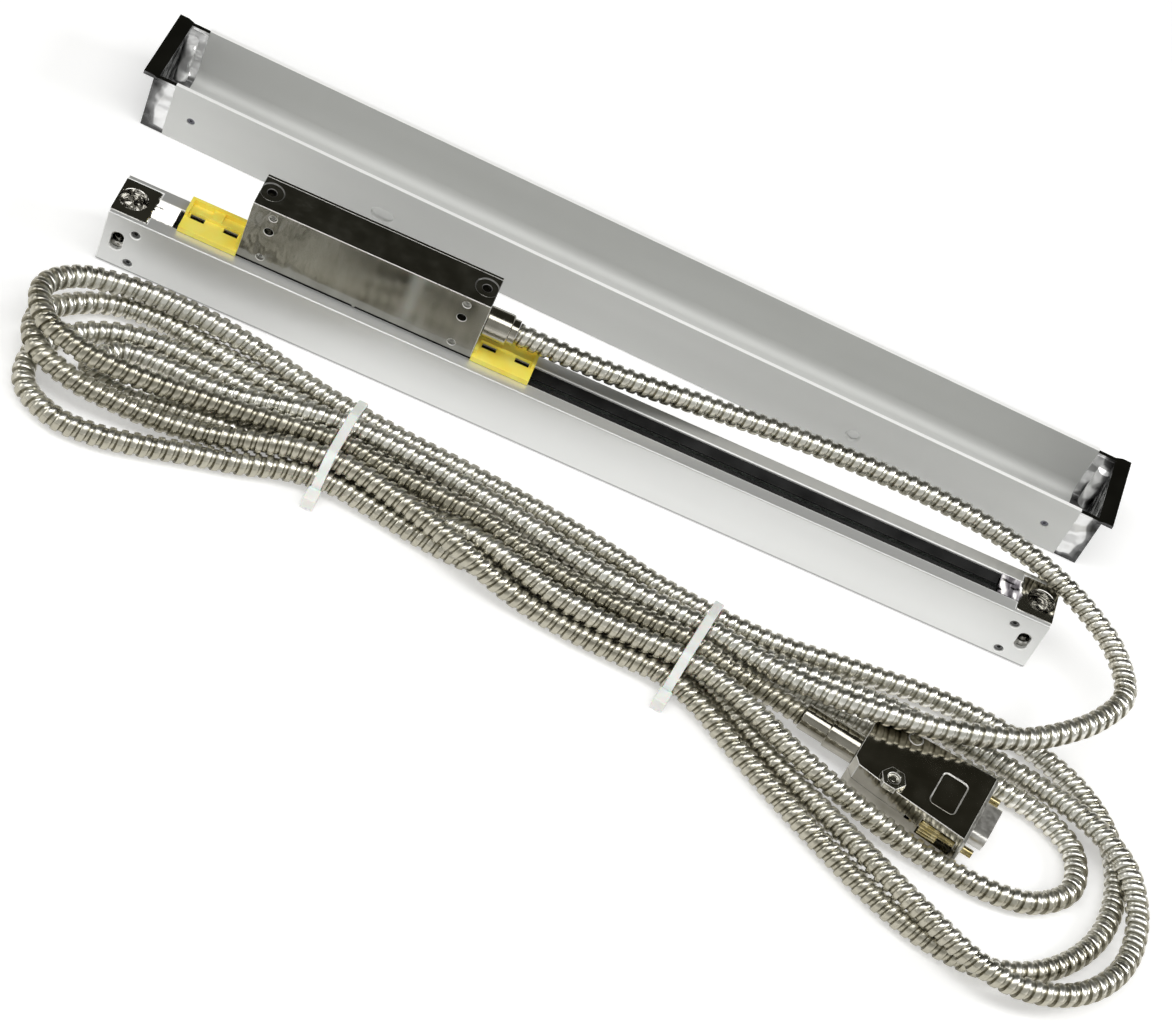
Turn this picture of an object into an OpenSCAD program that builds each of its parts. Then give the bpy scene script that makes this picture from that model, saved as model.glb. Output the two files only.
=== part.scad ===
// Linear glass scale: a slotted aluminium housing with a glass strip inside, a reading head that
// slides along the slot, an armoured cable with a nine-way connector, and a loose dust cover.
// X runs along the scale, Y away from the front face, Z up. The origin is the middle of the
// housing's underside. Millimetres.

/* [Scale housing] */
// Length of the housing
body_len = 352; // [340:2:420]
// Depth of the housing, front face to back face
body_w = 20; // [19.6:0.2:22]
// Height of the housing
body_h = 24; // [23.4:0.2:26]
// Thickness of the front and back walls
wall_t = 2; // [1.8:0.1:2.2]
// Thickness of the floor
floor_t = 2; // [1.6:0.1:2.2]
// Thickness of the slotted top
top_t = 3.6; // [3.4:0.1:3.8]
// Width of the slot in the top
slot_w = 9.2; // [8.6:0.2:9.6]
// Radius of the housing's long outer edges
edge_r = 0.5; // [0.2:0.1:0.8]

/* [End blocks] */
// Length of the wide part of an end block that shows from above
block_len = 13.4; // [12:0.2:14]
// Length of an end block with its tongue in the slot
tongue_end = 21.4; // [20:0.2:24]
// Length of the plug inside the housing
plug_len = 14.2; // [13.6:0.2:16]
// Distance of the mounting holes from the housing's ends
mount_inset = 5.5; // [5.3:0.1:6]
// Height of the mounting holes above the base
mount_z = 12; // [11:0.5:13]
// Diameter of the mounting holes, clear for M4
mount_d = 4.5; // [4.3:0.1:4.8]
// Length of the upright slots in the housing's walls
mount_slot = 8.7; // [7:0.1:9]
// Diameter of the round pocket in the top of an end block
pocket_d = 10.4; // [9:0.2:10.6]
// Depth of that pocket
pocket_depth = 7; // [4:0.5:7.5]
// Distance of the end-block screws from the housing's ends
block_screw_inset = 11.2; // [11:0.1:11.6]
// Height of the lower end-block screws above the housing's floor
lower_screw_up = 1.9; // [1.7:0.1:2.2]
// Depth of the upper end-block screws below the housing's top
upper_screw_down = 5.8; // [5.6:0.1:6.4]

/* [Glass and seals] */
// Thickness of the glass strip
glass_t = 2; // [1.6:0.1:2.2]
// Distance from the middle plane to the front face of the glass
glass_y = 3.9; // [3.8:0.05:4]
// Height of the rib that holds the foot of the glass
rib_h = 2.4; // [1.6:0.2:2.8]
// Height of the rubber strip that clamps the glass
clamp_h = 4.2; // [3:0.2:4.4]
// Depth of the grooves that hold the sealing lips
lip_groove = 1.2; // [0.8:0.1:1.4]
// Thickness of a sealing lip at its root
lip_t = 1.4; // [1.2:0.1:1.5]

/* [Reading head] */
// Length of the head
head_len = 87; // [84:1:92]
// Depth of the head with its back plate
head_d = 15.4; // [15:0.2:16]
// Height of the head
head_h = 26.3; // [26:0.1:28]
// Gap between the head and the housing
head_gap = 1; // [0.9:0.1:1.2]
// Distance of the head's left end from the housing's left end
head_inset = 45; // [45:1:60]
// Distance of the head's front face behind the housing's front face
head_setback = 4.8; // [4.4:0.1:5]
// Thickness of the head's back plate
back_t = 1.2; // [1:0.1:1.4]
// Thickness of the head's shell
shell_t = 2.2; // [2:0.1:2.4]
// Length of the solid ends of the head
head_solid = 12; // [11.5:0.5:13]
// Distance of the front holes from the head's ends
front_hole_inset = 8; // [7.6:0.1:8.4]
// Height of the threaded front holes above the head's underside
thread_z = 16.2; // [16:0.1:16.6]
// Core diameter of the M4 threads
thread_d = 3.3; // [3.2:0.1:3.4]
// Depth of the M4 threads
thread_depth = 6; // [5:0.5:6.5]
// Distance of the threaded top holes from the head's ends
top_hole_inset = 4; // [3.8:0.1:4.2]
// Diameter of the spot faces round the top holes
spot_d = 8.4; // [7.6:0.2:8.8]

/* [Carriage] */
// Length of the carriage that runs on the glass
carriage_len = 44; // [43:1:50]
// Clearance between the edge bearings and the underside of the housing's top
top_clear = 0.7; // [0.5:0.1:1.2]
// Outer diameter of the guide bearings
bearing_d = 5; // [4.9:0.05:5.1]
// Width of the bearings that run on the face of the glass
bearing_w = 2; // [1.8:0.1:2.1]
// Bore of the guide bearings
bearing_bore = 2; // [1.8:0.1:2.2]
// Distance of the outer bearings from the middle of the carriage
bearing_x = 17; // [16.5:0.5:18]
// Distance of the upper face bearing from the middle of the carriage
upper_x = 10.4; // [10:0.2:10.6]
// Width of the gap between a bearing and the glass
roll_gap = 0.05; // [0.03:0.01:0.08]
// Radial clearance of the bearings on their pins
pin_clear = 0.03; // [0.02:0.01:0.05]
// Thickness of the blade that passes between the sealing lips
blade_t = 1.2; // [1:0.1:1.3]
// Length of the blade
blade_len = 22; // [20:1:24]
// Clearance between the blade and each lip
lip_clear = 0.3; // [0.25:0.05:0.4]

/* [Transport brackets] */
// Length of a bracket along the scale
bracket_len = 21.5; // [20:0.5:21.5]
// Depth of a bracket
bracket_w = 14; // [13:0.2:15]
// Height of a bracket
bracket_h = 4.4; // [4:0.2:5.2]
// Thickness of its walls
bracket_t = 1.2; // [1:0.1:1.4]

/* [Cable] */
// Outer diameter of the armoured conduit
cord_d = 8; // [7.6:0.1:8.2]
// Diameter of the gland's collar
gland_d = 11.2; // [10.6:0.2:11.6]
// Length of the gland's collar
gland_len = 9; // [8:0.5:9]
// Height of the gland's axis above the head's underside
gland_z = 11.2; // [11:0.1:11.4]
// Height of the tied hank
hank_h = 16.4; // [15:0.2:17]
// Width of a cable tie's band
tie_w = 3.4; // [3:0.1:4]
// Thickness of a cable tie's band
tie_t = 1.2; // [1:0.1:1.4]

/* [Connector] */
// Width across the connector's flange
flange_w = 30.8; // [30:0.1:31.4]
// Thickness of the connector's hood
hood_h = 15.4; // [14.6:0.2:16]
// Length of the hood
hood_len = 44.5; // [42:0.5:46]
// Distance between the connector's two screws
screw_pitch = 25; // [24.8:0.1:25.2]
// Diameter of the thumbscrews' knurled knobs
knob_d = 6.8; // [6:0.2:7.2]

/* [Dust cover] */
// Length of the cover's channel
cover_len = 354; // [340:2:400]
// Depth of the channel
cover_w = 34; // [32:0.5:36]
// Height of the channel
cover_h = 25; // [23:0.5:27]
// Thickness of the channel's walls
cover_t = 1.6; // [1.4:0.1:2]
// Inner radius of the channel's corners
cover_r = 4.5; // [3:0.5:6]
// Length of an end cap beyond the channel
cap_len = 8.4; // [7.5:0.1:10]
// Overhang of the lip on an end cap
cap_lip = 4; // [3:0.1:5]
// Angle of the cover as it lies behind the scale
cover_yaw = -1.8; // [-3:0.1:0]

/* [Hidden] */

$fn = 48;
eps = 0.05;                       // overshoot of cuts
fit = 0.05;                       // clearance of pieces that sit in one another

// housing
half = body_len / 2;
cav_w = body_w - 2 * wall_t;
cav_top = body_h - top_t;
mount_x = half - mount_inset;
block_screw_x = half - block_screw_inset;
block_screw_z = [floor_t + lower_screw_up, body_h - upper_screw_down];
block_screw_r = 1.2;
block_head_r = 1.6;
block_head_h = 1.2;
block_screw_len = 3.4;
lip_z = body_h - 2.6;             // underside of the lips' grooves

// glass
glass_len = body_len - 2 * plug_len - 6;
glass_z = floor_t + fit;
glass_top = cav_top - top_clear - bearing_d - roll_gap;
glass_back = glass_y + glass_t;

// head
head_x0 = -half + head_inset;
head_x1 = head_x0 + head_len;
head_mid = head_x0 + head_len / 2;
head_y0 = -body_w / 2 + head_setback;
head_y1 = head_y0 + head_d;
head_z0 = body_h + head_gap;
head_z1 = head_z0 + head_h;
plate_y = head_y1 - back_t;
front_hole_x = [head_x0 + front_hole_inset, head_x1 - front_hole_inset];
set_screw_z = [head_z0 + 3.3, head_z1 - 3.5];
set_screw_r = 1.4;
set_screw_len = 3;
set_screw_sunk = 0.9;
top_hole_x = [head_x0 + top_hole_inset, head_x1 - top_hole_inset];
top_hole_y = head_y0 + 8.1;
top_hole_depth = 8;
back_screw_z = [head_z0 + 5, head_z1 - 5];
back_screw_r = 1.25;
back_screw_len = 5;
gland_axis = [head_y0 + 8.6, head_z0 + gland_z];
spigot_r = 3.2;
spigot_len = 6;
hollow_x0 = head_x0 + head_solid;
hollow_x1 = head_x1 - head_solid;
hollow_z0 = head_z0 + shell_t;
hollow_z1 = head_z1 - shell_t;
hollow_y0 = head_y0 + shell_t;

// carriage
car_y0 = -6.2;
car_y1 = glass_y - 1;
car_back = glass_back + 0.7;
car_z0 = floor_t + 3.2;
car_z1 = cav_top - 0.8;
car_notch = glass_top + 0.4;
face_y = glass_y - bearing_d / 2 - roll_gap;
face_z = car_z0 + 2.2;
upper_z = glass_top - 2.05;
face_bearings = [[head_mid - bearing_x, face_z], [head_mid - upper_x, upper_z],
    [head_mid + bearing_x, face_z]];
edge_w = 1.6;
edge_y = glass_y + glass_t / 2;
edge_z = glass_top + bearing_d / 2 + roll_gap;
pin_r = bearing_bore / 2 - pin_clear;
optic_z = car_z0 + 0.6 * (glass_top - car_z0);
led_r = 1.5;
lens_r = 2.5;
wire_r = 0.4;
wire_x = 6;
wire_z = car_z1 - 1.4;
foot_t = 1.2;                     // thickness of the blade's foot inside the head
board_t = 0.7;
board_y = car_back;
pillar_x = 26;                    // pillars of the head's board, from its middle
chip_pitch = 15;
chip_len = 9;
chip_z = [8, 13];                 // chips, above the board's lower edge
tab_x = 5;                        // first solder tab, from the hollow's end
tab_pitch = 7;
tab_len = 2;
tab_z = [2.4, 3.6];

// transport brackets
bracket_back = 8.4;
slot_inset = 4.6;
slot_half = 2.6;

// cable
gland_ring = 2.5;
gland_end = head_x1 + gland_len + gland_ring;
gy = gland_axis[0];
gz = gland_axis[1];
cord_r = cord_d / 2;
// points along the middle of the conduit from the gland to the hank
ROUTE = [[gland_end, gy, gz], [-16, gy, gz], [10, 6, 35], [50, 13, 33], [85, 17, 32],
    [120, 18, 31], [148, 15.5, 30], [172, 8, 29], [192, -2.5, 26.5], [204, -14, 23.5],
    [207, -27, 21.5], [195, -44, 20.8], [177, -59, 20.8], [155, -67.5, 20.8],
    [128, -72.5, 20.8], [108, -72, 18.5], [90, -68.5, 14]];
ROUTE_STEP = 3;                   // rings between two points
SIDES = 10;
// corners of the hank's outline, counter-clockwise from the left tie's far side
HANK = [[-72, -28], [-84, -27], [-120, -22], [-155, -19.5], [-180, -25], [-190.5, -40], [-191, -58],
    [-186, -76], [-172, -87.5], [-150, -91], [-120, -84], [-84, -71.5], [-72, -70], [0, -79],
    [52, -86], [66, -89.5], [100, -109], [140, -131], [187, -148], [215, -143], [236, -127],
    [243, -105], [240, -88], [229, -68], [205, -49], [175, -39.5], [150, -37], [110, -40],
    [76, -45.5], [62, -46.5], [0, -37], [-60, -29]];
HANK_STEP = 2;
// ties: middle of the bundle in each, its half width, and the angle of the band
TIES = [[-72, -49, 20.4, 3.5], [63.5, -67.3, 21.2, 9.5]];
tie_head = [4.6, 6.4, 5.4];
reach = 40;                       // past the hank's sides, for cuts across it
tie_r = 3;

// connector, in its own frame: X along its axis from the sleeve's rear end
con_at = [105.5, -77.5, 8];
con_yaw = -11;
sleeve_r = 4.7;
sleeve_len = 10;
neck_r = 5.4;
neck_len = 11.5;
hood_x = sleeve_len + neck_len;
flange_x = hood_x + hood_len;
flange_t = 1;
flange_h = 12.5;
d_w = 16.9;                       // D shell, across the wide side
d_h = 8.4;
d_len = 5.9;
hood_screw_x = hood_x + 14.5;
hood_screw_y = 11;
hex_r = 4.6;                      // hexagonal head of the hood's near screw, across corners
hex_h = 2.6;
far_head_r = 2.4;                 // sunk head of the hood's far screw
far_head_h = 1.2;
knob_x = flange_x - 14.5;
knob_len = 6.8;
neck_room = 6.4;                  // half width of the hank's space round the neck,
hood_room = 17.2;                 // round the hood,
front_room = 24;                  // and its length before the flange
recess_at = [32.8, -1.7];         // middle of the hood's shallow recess, from its rear end
recess_size = [9.4, 14.8];
screw_r = 1.45;

// dust cover
cover_at = [0, 69.7, 0];
cover_hole_x = cover_len / 2 - 84.2;
cover_hole_z = 10.4;
cap_screw_x = cover_len / 2 - 8.8;
cap_screw_z = 11.6;
cap_tongue = 3;

// ---- helpers ----

// a 2D shape in Y and Z, extruded along X about the middle
module along_x(len) {
    rotate([90, 0, 90]) linear_extrude(len, center = true) children();
}

// a cylinder along Y from y0 to y1
module along_y(x, z, r, y0, y1) {
    translate([x, y0, z]) rotate([-90, 0, 0]) cylinder(r = r, h = y1 - y0);
}

// a cylinder along Z from z0 to z1
module along_z(x, y, r, z0, z1) {
    translate([x, y, z0]) cylinder(r = r, h = z1 - z0);
}

// a box given by its two corners
module box(a, b) {
    translate(a) cube(b - a);
}

// a rectangle with round corners, from corner a to corner b
module round_rect(a, b, r) {
    translate([a[0] + r, a[1]]) square([b[0] - a[0] - 2 * r, b[1] - a[1]]);
    translate([a[0], a[1] + r]) square([b[0] - a[0], b[1] - a[1] - 2 * r]);
    for (x = [a[0] + r, b[0] - r], y = [a[1] + r, b[1] - r])
        translate([x, y]) circle(r);
}

// an upright slot through a wall, along Y
module upright_slot(x, z, d, len, y0, y1) {
    for (s = [-1, 1])
        along_y(x, z + s * (len - d) / 2, d / 2, y0, y1);
    box([x - d / 2, y0, z - (len - d) / 2], [x + d / 2, y1, z + (len - d) / 2]);
}

// Catmull-Rom point between b and c
function spline(a, b, c, d, t) =
    0.5 * (2 * b + (c - a) * t + (2 * a - 5 * b + 4 * c - d) * t * t
        + (3 * b - a - 3 * c + d) * t * t * t);

// an open line through the points, n pieces between two of them
function open_line(p, n) = [
    for (i = [0:len(p) - 2], k = [0:n - 1])
        spline(p[max(i - 1, 0)], p[i], p[i + 1], p[min(i + 2, len(p) - 1)], k / n),
    p[len(p) - 1]];

// a closed line through the points
function closed_line(p, n) = let (m = len(p)) [
    for (i = [0:m - 1], k = [0:n - 1])
        spline(p[(i + m - 1) % m], p[i], p[(i + 1) % m], p[(i + 2) % m], k / n)];

function unit(v) = v / norm(v);

// a round tube along a line, as one closed solid
module sweep(line, r, sides) {
    m = len(line);
    rings = [for (i = [0:m - 1])
        let (dir = unit(line[min(i + 1, m - 1)] - line[max(i - 1, 0)]),
            side = unit(cross(dir, [0, 0, 1])), up = cross(side, dir))
        for (k = [0:sides - 1])
            line[i] + r * (cos(360 * k / sides) * side + sin(360 * k / sides) * up)];
    faces = concat(
        [[for (k = [0:sides - 1]) k]],
        [for (i = [0:m - 2], k = [0:sides - 1])
            [i * sides + k, (i + 1) * sides + k, (i + 1) * sides + (k + 1) % sides,
                i * sides + (k + 1) % sides]],
        [[for (k = [sides - 1:-1:0]) (m - 1) * sides + k]]);
    polyhedron(rings, faces, convexity = 10);
}

module at_cover() {
    translate(cover_at) rotate([0, 0, cover_yaw]) children();
}

module at_connector() {
    translate(con_at) rotate([0, 0, con_yaw]) children();
}

// ---- scale housing ----

// section of the housing, Y across and Z up
module body_section() {
    difference() {
        round_rect([-body_w / 2, 0], [body_w / 2, body_h], edge_r);
        translate([-cav_w / 2, floor_t]) square([cav_w, cav_top - floor_t]);
        translate([-slot_w / 2, cav_top - eps]) square([slot_w, top_t + 2 * eps]);
        translate([-slot_w / 2 - lip_groove, lip_z]) square([slot_w + 2 * lip_groove, lip_t]);
    }
    // rib in front of the foot of the glass
    translate([glass_y - 1, floor_t - eps]) square([0.9, rib_h + eps]);
}

module scale_body() {
    color("silver") difference() {
        along_x(body_len) body_section();
        for (s = [-1, 1]) {
            // the top is milled away over the wide part of each end block
            mirror([s < 0 ? 1 : 0, 0, 0])
                box([half - block_len, -cav_w / 2, cav_top - eps], [half + eps, cav_w / 2, body_h + eps]);
            // the rib stops short of the end plugs
            mirror([s < 0 ? 1 : 0, 0, 0])
                box([half - plug_len - fit, glass_y - 1.2, floor_t],
                    [half + eps, cav_w / 2, floor_t + rib_h + eps]);
            upright_slot(s * mount_x, mount_z, mount_d, mount_slot, -body_w / 2 - eps, -cav_w / 2 + eps);
            upright_slot(s * mount_x, mount_z, mount_d, mount_slot, cav_w / 2 - eps, body_w / 2 + eps);
            for (z = block_screw_z)
                along_y(s * block_screw_x, z, block_head_r + 0.1, -body_w / 2 - eps, -cav_w / 2 + eps);
        }
    }
}

// the right end block; the left one is its mirror image
module end_block() {
    w = cav_w / 2 - fit;
    color("gainsboro") difference() {
        union() {
            // plug inside the housing
            box([half - plug_len, -w, floor_t + fit], [half, w, cav_top - fit]);
            // wide part, flush with the top of the housing
            translate([0, 0, cav_top - fit - eps])
                linear_extrude(top_t + fit + eps) {
                    difference() {
                        round_rect([half - block_len + fit, -w], [half + 3, w], 1.2);
                        translate([half, -w - 1]) square([4, 2 * w + 2]);
                    }
                }
            // tongue that fills the end of the slot
            box([half - tongue_end, -slot_w / 2 + fit, cav_top + fit],
                [half - block_len + 1, slot_w / 2 - fit, body_h]);
        }
        along_z(mount_x, 0, pocket_d / 2, body_h - pocket_depth, body_h + eps);
        along_y(mount_x, mount_z, mount_d / 2, -w - eps, w + eps);
        for (z = block_screw_z)
            along_y(block_screw_x, z, block_screw_r + 0.02, -w - eps, -w + block_screw_len + 0.4);
    }
}

module end_block_left() {
    mirror([1, 0, 0]) end_block();
}

module end_block_right() {
    end_block();
}

// socket screws through the front wall into the end blocks
module end_block_screws() {
    y = -cav_w / 2 + fit;
    color("dimgray")
        for (s = [-1, 1], z = block_screw_z)
            difference() {
                union() {
                    along_y(s * block_screw_x, z, block_head_r, y - block_head_h, y);
                    along_y(s * block_screw_x, z, block_screw_r, y - eps, y + block_screw_len);
                }
                translate([s * block_screw_x, y - block_head_h - eps, z]) rotate([-90, 0, 0])
                    cylinder(r = 0.8, h = 0.7, $fn = 6);
            }
}

// ---- glass, its clamp and the seals ----

module glass_scale() {
    color("lightcyan", 0.6)
        box([-glass_len / 2, glass_y, glass_z], [glass_len / 2, glass_back, glass_top]);
}

module glass_clamp_strip() {
    color("dimgray") along_x(glass_len)
        polygon([[glass_back + 0.03, glass_z], [cav_w / 2 - fit, glass_z],
            [cav_w / 2 - fit, glass_z + clamp_h], [glass_back + 0.8, glass_z + clamp_h],
            [glass_back + 0.03, glass_z + clamp_h - 1]]);
}

// a sealing lip: a bead in the groove and a blade that slopes down to the middle
module seal_lip() {
    root = slot_w / 2;
    tip = blade_t / 2 + lip_clear;
    color([0.08, 0.08, 0.08]) along_x(body_len - 2 * tongue_end - 2 * 0.3)
        polygon([[root + lip_groove - fit, lip_z + fit], [root + lip_groove - fit, lip_z + lip_t - fit],
            [root - fit, lip_z + lip_t - fit], [root - fit, lip_z + lip_t + 0.2],
            [root - 1.6, lip_z + lip_t - 0.2], [tip, lip_z + 0.5], [tip, lip_z],
            [root - 1.6, lip_z - 0.2], [root - fit, lip_z + fit]]);
}

module seal_lip_front() {
    mirror([0, 1, 0]) seal_lip();
}

module seal_lip_back() {
    seal_lip();
}

// ---- reading head ----

module head_housing() {
    color("gainsboro") difference() {
        union() {
            box([head_x0, head_y0, head_z0], [head_x1, plate_y, head_z1]);
            // half-round mark in the middle of the lower front edge
            along_y(head_mid, head_z0, 0.8, head_y0, head_y0 + 1.4);
        }
        // hollow, open at the back
        box([hollow_x0, hollow_y0, hollow_z0], [hollow_x1, plate_y + eps, hollow_z1]);
        // slot for the blade in the underside
        box([head_mid - blade_len / 2 - 0.2, -blade_t / 2 - 0.1, head_z0 - 1],
            [head_mid + blade_len / 2 + 0.2, blade_t / 2 + 0.1, hollow_z0 + eps]);
        // threads for the screws of the blade's foot
        for (s = [-1, 1])
            along_z(head_mid + s * 7, 3.6, 0.9, hollow_z0 - 1.6, hollow_z0 + eps);
        for (x = front_hole_x) {
            along_y(x, head_z0 + thread_z, thread_d / 2, head_y0 - eps, head_y0 + thread_depth);
            for (z = set_screw_z)
                along_y(x, z, set_screw_r, head_y0 - eps, head_y0 + set_screw_sunk + set_screw_len + 0.3);
            for (z = back_screw_z)
                along_y(x, z, back_screw_r + 0.02, plate_y - back_screw_len - 0.4, plate_y + eps);
        }
        for (x = top_hole_x) {
            along_z(x, top_hole_y, thread_d / 2, head_z1 - top_hole_depth, head_z1 + eps);
            along_z(x, top_hole_y, spot_d / 2, head_z1 - 0.3, head_z1 + eps);
        }
        // bore for the gland's spigot, and the wire hole beyond it
        translate([head_x1 - spigot_len - 0.3, gy, gz]) rotate([0, 90, 0])
            cylinder(r = spigot_r + fit, h = spigot_len + 1);
        translate([hollow_x1 - eps, gy, gz]) rotate([0, 90, 0])
            cylinder(r = 2, h = head_solid);
        // pillars' tapped holes for the board are in the front wall
        for (s = [-1, 1])
            along_y(head_mid + s * pillar_x, head_z0 + head_h / 2, 0.8, hollow_y0 - 1.2, hollow_y0 + eps);
    }
}

module head_back_plate() {
    color("gainsboro") difference() {
        box([head_x0, plate_y + 0.02, head_z0], [head_x1, head_y1, head_z1]);
        for (x = front_hole_x, z = back_screw_z)
            along_y(x, z, back_screw_r + 0.1, plate_y - eps, head_y1 + eps);
    }
}

module back_plate_screws() {
    color("dimgray")
        for (x = front_hole_x, z = back_screw_z)
            difference() {
                union() {
                    along_y(x, z, back_screw_r, plate_y - back_screw_len, head_y1 + eps);
                    along_y(x, z, 2.2, head_y1 + 0.02, head_y1 + 1.1);
                }
                box([x - 1.6, head_y1 + 0.6, z - 0.3], [x + 1.6, head_y1 + 2, z + 0.3]);
            }
}

// socket set screws sunk in the small front holes
module front_screws() {
    color("dimgray")
        for (x = front_hole_x, z = set_screw_z)
            difference() {
                along_y(x, z, set_screw_r - 0.02, head_y0 + set_screw_sunk,
                    head_y0 + set_screw_sunk + set_screw_len);
                translate([x, head_y0 + set_screw_sunk - eps, z]) rotate([-90, 0, 0])
                    cylinder(r = 0.75, h = 1, $fn = 6);
            }
}

// board with its chips and the two pillars that carry it
module circuit_board() {
    y = hollow_y0 + 3;
    z0 = hollow_z0 + 3.4;
    z1 = hollow_z1 - 1;
    color("darkgreen") {
        box([hollow_x0 + 1, y, z0], [hollow_x1 - 1, y + 1.2, z1]);
        for (s = [-1, 1])
            along_y(head_mid + s * pillar_x, head_z0 + head_h / 2, 1.6, hollow_y0 + 0.02, y + eps);
    }
    color([0.1, 0.1, 0.1]) {
        for (i = [-1:1])
            box([head_mid + i * chip_pitch - chip_len / 2, y + 1.2 - eps, z0 + chip_z[0]],
                [head_mid + i * chip_pitch + chip_len / 2, y + 2.8, z0 + chip_z[1]]);
        for (i = [0:7])
            box([hollow_x0 + tab_x + i * tab_pitch, y + 1.2 - eps, z0 + tab_z[0]],
                [hollow_x0 + tab_x + tab_len + i * tab_pitch, y + 1.9, z0 + tab_z[1]]);
    }
}

// spring-steel blade with a folded foot, screwed down inside the head
module neck_blade() {
    color("lightgray") difference() {
        union() {
            box([head_mid - blade_len / 2, -blade_t / 2, wire_z - 1.2],
                [head_mid + blade_len / 2, blade_t / 2, hollow_z0 + foot_t]);
            box([head_mid - blade_len / 2, -blade_t / 2, hollow_z0 + 0.02],
                [head_mid + blade_len / 2, 5.6, hollow_z0 + foot_t]);
        }
        for (s = [-1, 1]) {
            along_y(head_mid + s * wire_x, wire_z, wire_r + 0.03, -2, 2);
            along_z(head_mid + s * 7, 3.6, 1, hollow_z0 - eps, hollow_z0 + foot_t + eps);
        }
    }
}

module neck_screws() {
    color("dimgray")
        for (s = [-1, 1]) {
            along_z(head_mid + s * 7, 3.6, 0.88, hollow_z0 - 1.4, hollow_z0 + foot_t + 0.1);
            along_z(head_mid + s * 7, 3.6, 1.6, hollow_z0 + foot_t + 0.02, hollow_z0 + foot_t + 1);
        }
}

// U of spring wire that links the blade to the carriage without play
module coupling_spring() {
    bar_y = car_y0 - wire_r - 0.1;
    color("lightgray") {
        for (s = [-1, 1]) {
            along_y(head_mid + s * wire_x, wire_z, wire_r, bar_y, 4);
            translate([head_mid + s * wire_x, bar_y, wire_z]) sphere(wire_r);
        }
        translate([head_mid - wire_x, bar_y, wire_z]) rotate([0, 90, 0])
            cylinder(r = wire_r, h = 2 * wire_x);
    }
}

// block that straddles the glass and carries the bearings and the optics
module carriage() {
    pocket = bearing_d / 2 + 0.4;
    color("slategray") difference() {
        translate([head_mid, 0, 0]) along_x(carriage_len)
            polygon([[car_y0, car_z0], [car_y1, car_z0], [car_y1, car_notch], [car_back, car_notch],
                [car_back, car_z1], [car_y0, car_z1]]);
        // pockets and pin holes of the face bearings
        for (b = face_bearings) {
            box([b[0] - pocket, face_y - pocket, b[1] - bearing_w / 2 - 0.25],
                [b[0] + pocket, car_y1 + eps, b[1] + bearing_w / 2 + 0.25]);
            along_z(b[0], face_y, pin_r + 0.01, b[1] - 2.1, b[1] + 2.6);
        }
        // pockets and pin holes of the edge bearings
        for (s = [-1, 1]) {
            box([head_mid + s * bearing_x - pocket, edge_y - edge_w / 2 - 0.2, car_notch - eps],
                [head_mid + s * bearing_x + pocket, edge_y + edge_w / 2 + 0.2, car_z1 + eps]);
            box([head_mid + s * bearing_x - pocket, edge_y - edge_w / 2 - 0.2, glass_top - 0.6],
                [head_mid + s * bearing_x + pocket, car_back + eps, car_notch + eps]);
            along_y(head_mid + s * bearing_x, edge_z, pin_r + 0.01, edge_y - 2.4, car_back + eps);
        }
        // slot for the blade, and holes for the spring wire
        box([head_mid - blade_len / 2 - 1, -blade_t / 2 - 0.3, wire_z - 1.6],
            [head_mid + blade_len / 2 + 1, blade_t / 2 + 0.3, car_z1 + eps]);
        for (s = [-1, 1])
            along_y(head_mid + s * wire_x, wire_z, wire_r + 0.02, car_y0 - eps, 4.2);
        // bores for the lamp and the lens, and the seat of the grating
        along_y(head_mid, optic_z, led_r + fit, car_y0 - eps, 0);
        along_y(head_mid, optic_z, lens_r + fit, -1.1, car_y1 + eps);
        box([head_mid - 6, car_y1 - 0.7, optic_z - 3.2], [head_mid + 6, car_y1 + eps, optic_z + 3.2]);
        // threads for the sensor board's screws
        for (s = [-1, 1])
            along_y(head_mid + s * 9.5, car_z1 - 2.2, 0.6, car_back - 1.6, car_back + eps);
    }
}

// board behind the glass with its row of photocells
module sensor_board() {
    color("darkgreen") difference() {
        box([head_mid - 13, board_y + 0.02, floor_t + clamp_h + 0.8],
            [head_mid + 13, board_y + board_t, car_z1 - 0.4]);
        for (s = [-1, 1])
            along_y(head_mid + s * 9.5, car_z1 - 2.2, 0.65, board_y - eps, board_y + board_t + eps);
    }
    color([0.1, 0.1, 0.1])
        for (i = [0:3])
            box([head_mid - 5 + i * 2.6, glass_back + 0.2, optic_z - 2],
                [head_mid - 3 + i * 2.6, board_y + 0.03, optic_z + 2]);
}

module sensor_board_screws() {
    color("dimgray")
        for (s = [-1, 1]) {
            along_y(head_mid + s * 9.5, car_z1 - 2.2, 0.58, board_y - 1.5, board_y + board_t + 0.1);
            along_y(head_mid + s * 9.5, car_z1 - 2.2, 1, board_y + board_t + 0.02, board_y + board_t + 0.4);
        }
}

module led_lamp() {
    color("white") {
        along_y(head_mid, optic_z, led_r, car_y0 + 0.6, car_y0 + 3.4);
        translate([head_mid, car_y0 + 3.4, optic_z]) sphere(led_r - 0.02);
        for (s = [-1, 1])
            along_y(head_mid + s * 0.7, optic_z, 0.2, car_y0 - 0.7, car_y0 + 1);
    }
}

module condenser_lens() {
    color("lightcyan", 0.6) along_y(head_mid, optic_z, lens_r, -1, 1.1);
}

module index_grating() {
    color("lightcyan", 0.6)
        box([head_mid - 5.9, car_y1 - 0.68, optic_z - 3.1], [head_mid + 5.9, glass_y - 0.2, optic_z + 3.1]);
}

module roller_pins() {
    color("lightgray") {
        for (b = face_bearings)
            along_z(b[0], face_y, pin_r, b[1] - 2, b[1] + 2.5);
        for (s = [-1, 1])
            along_y(head_mid + s * bearing_x, edge_z, pin_r, edge_y - 2.3, car_back);
    }
}

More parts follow.
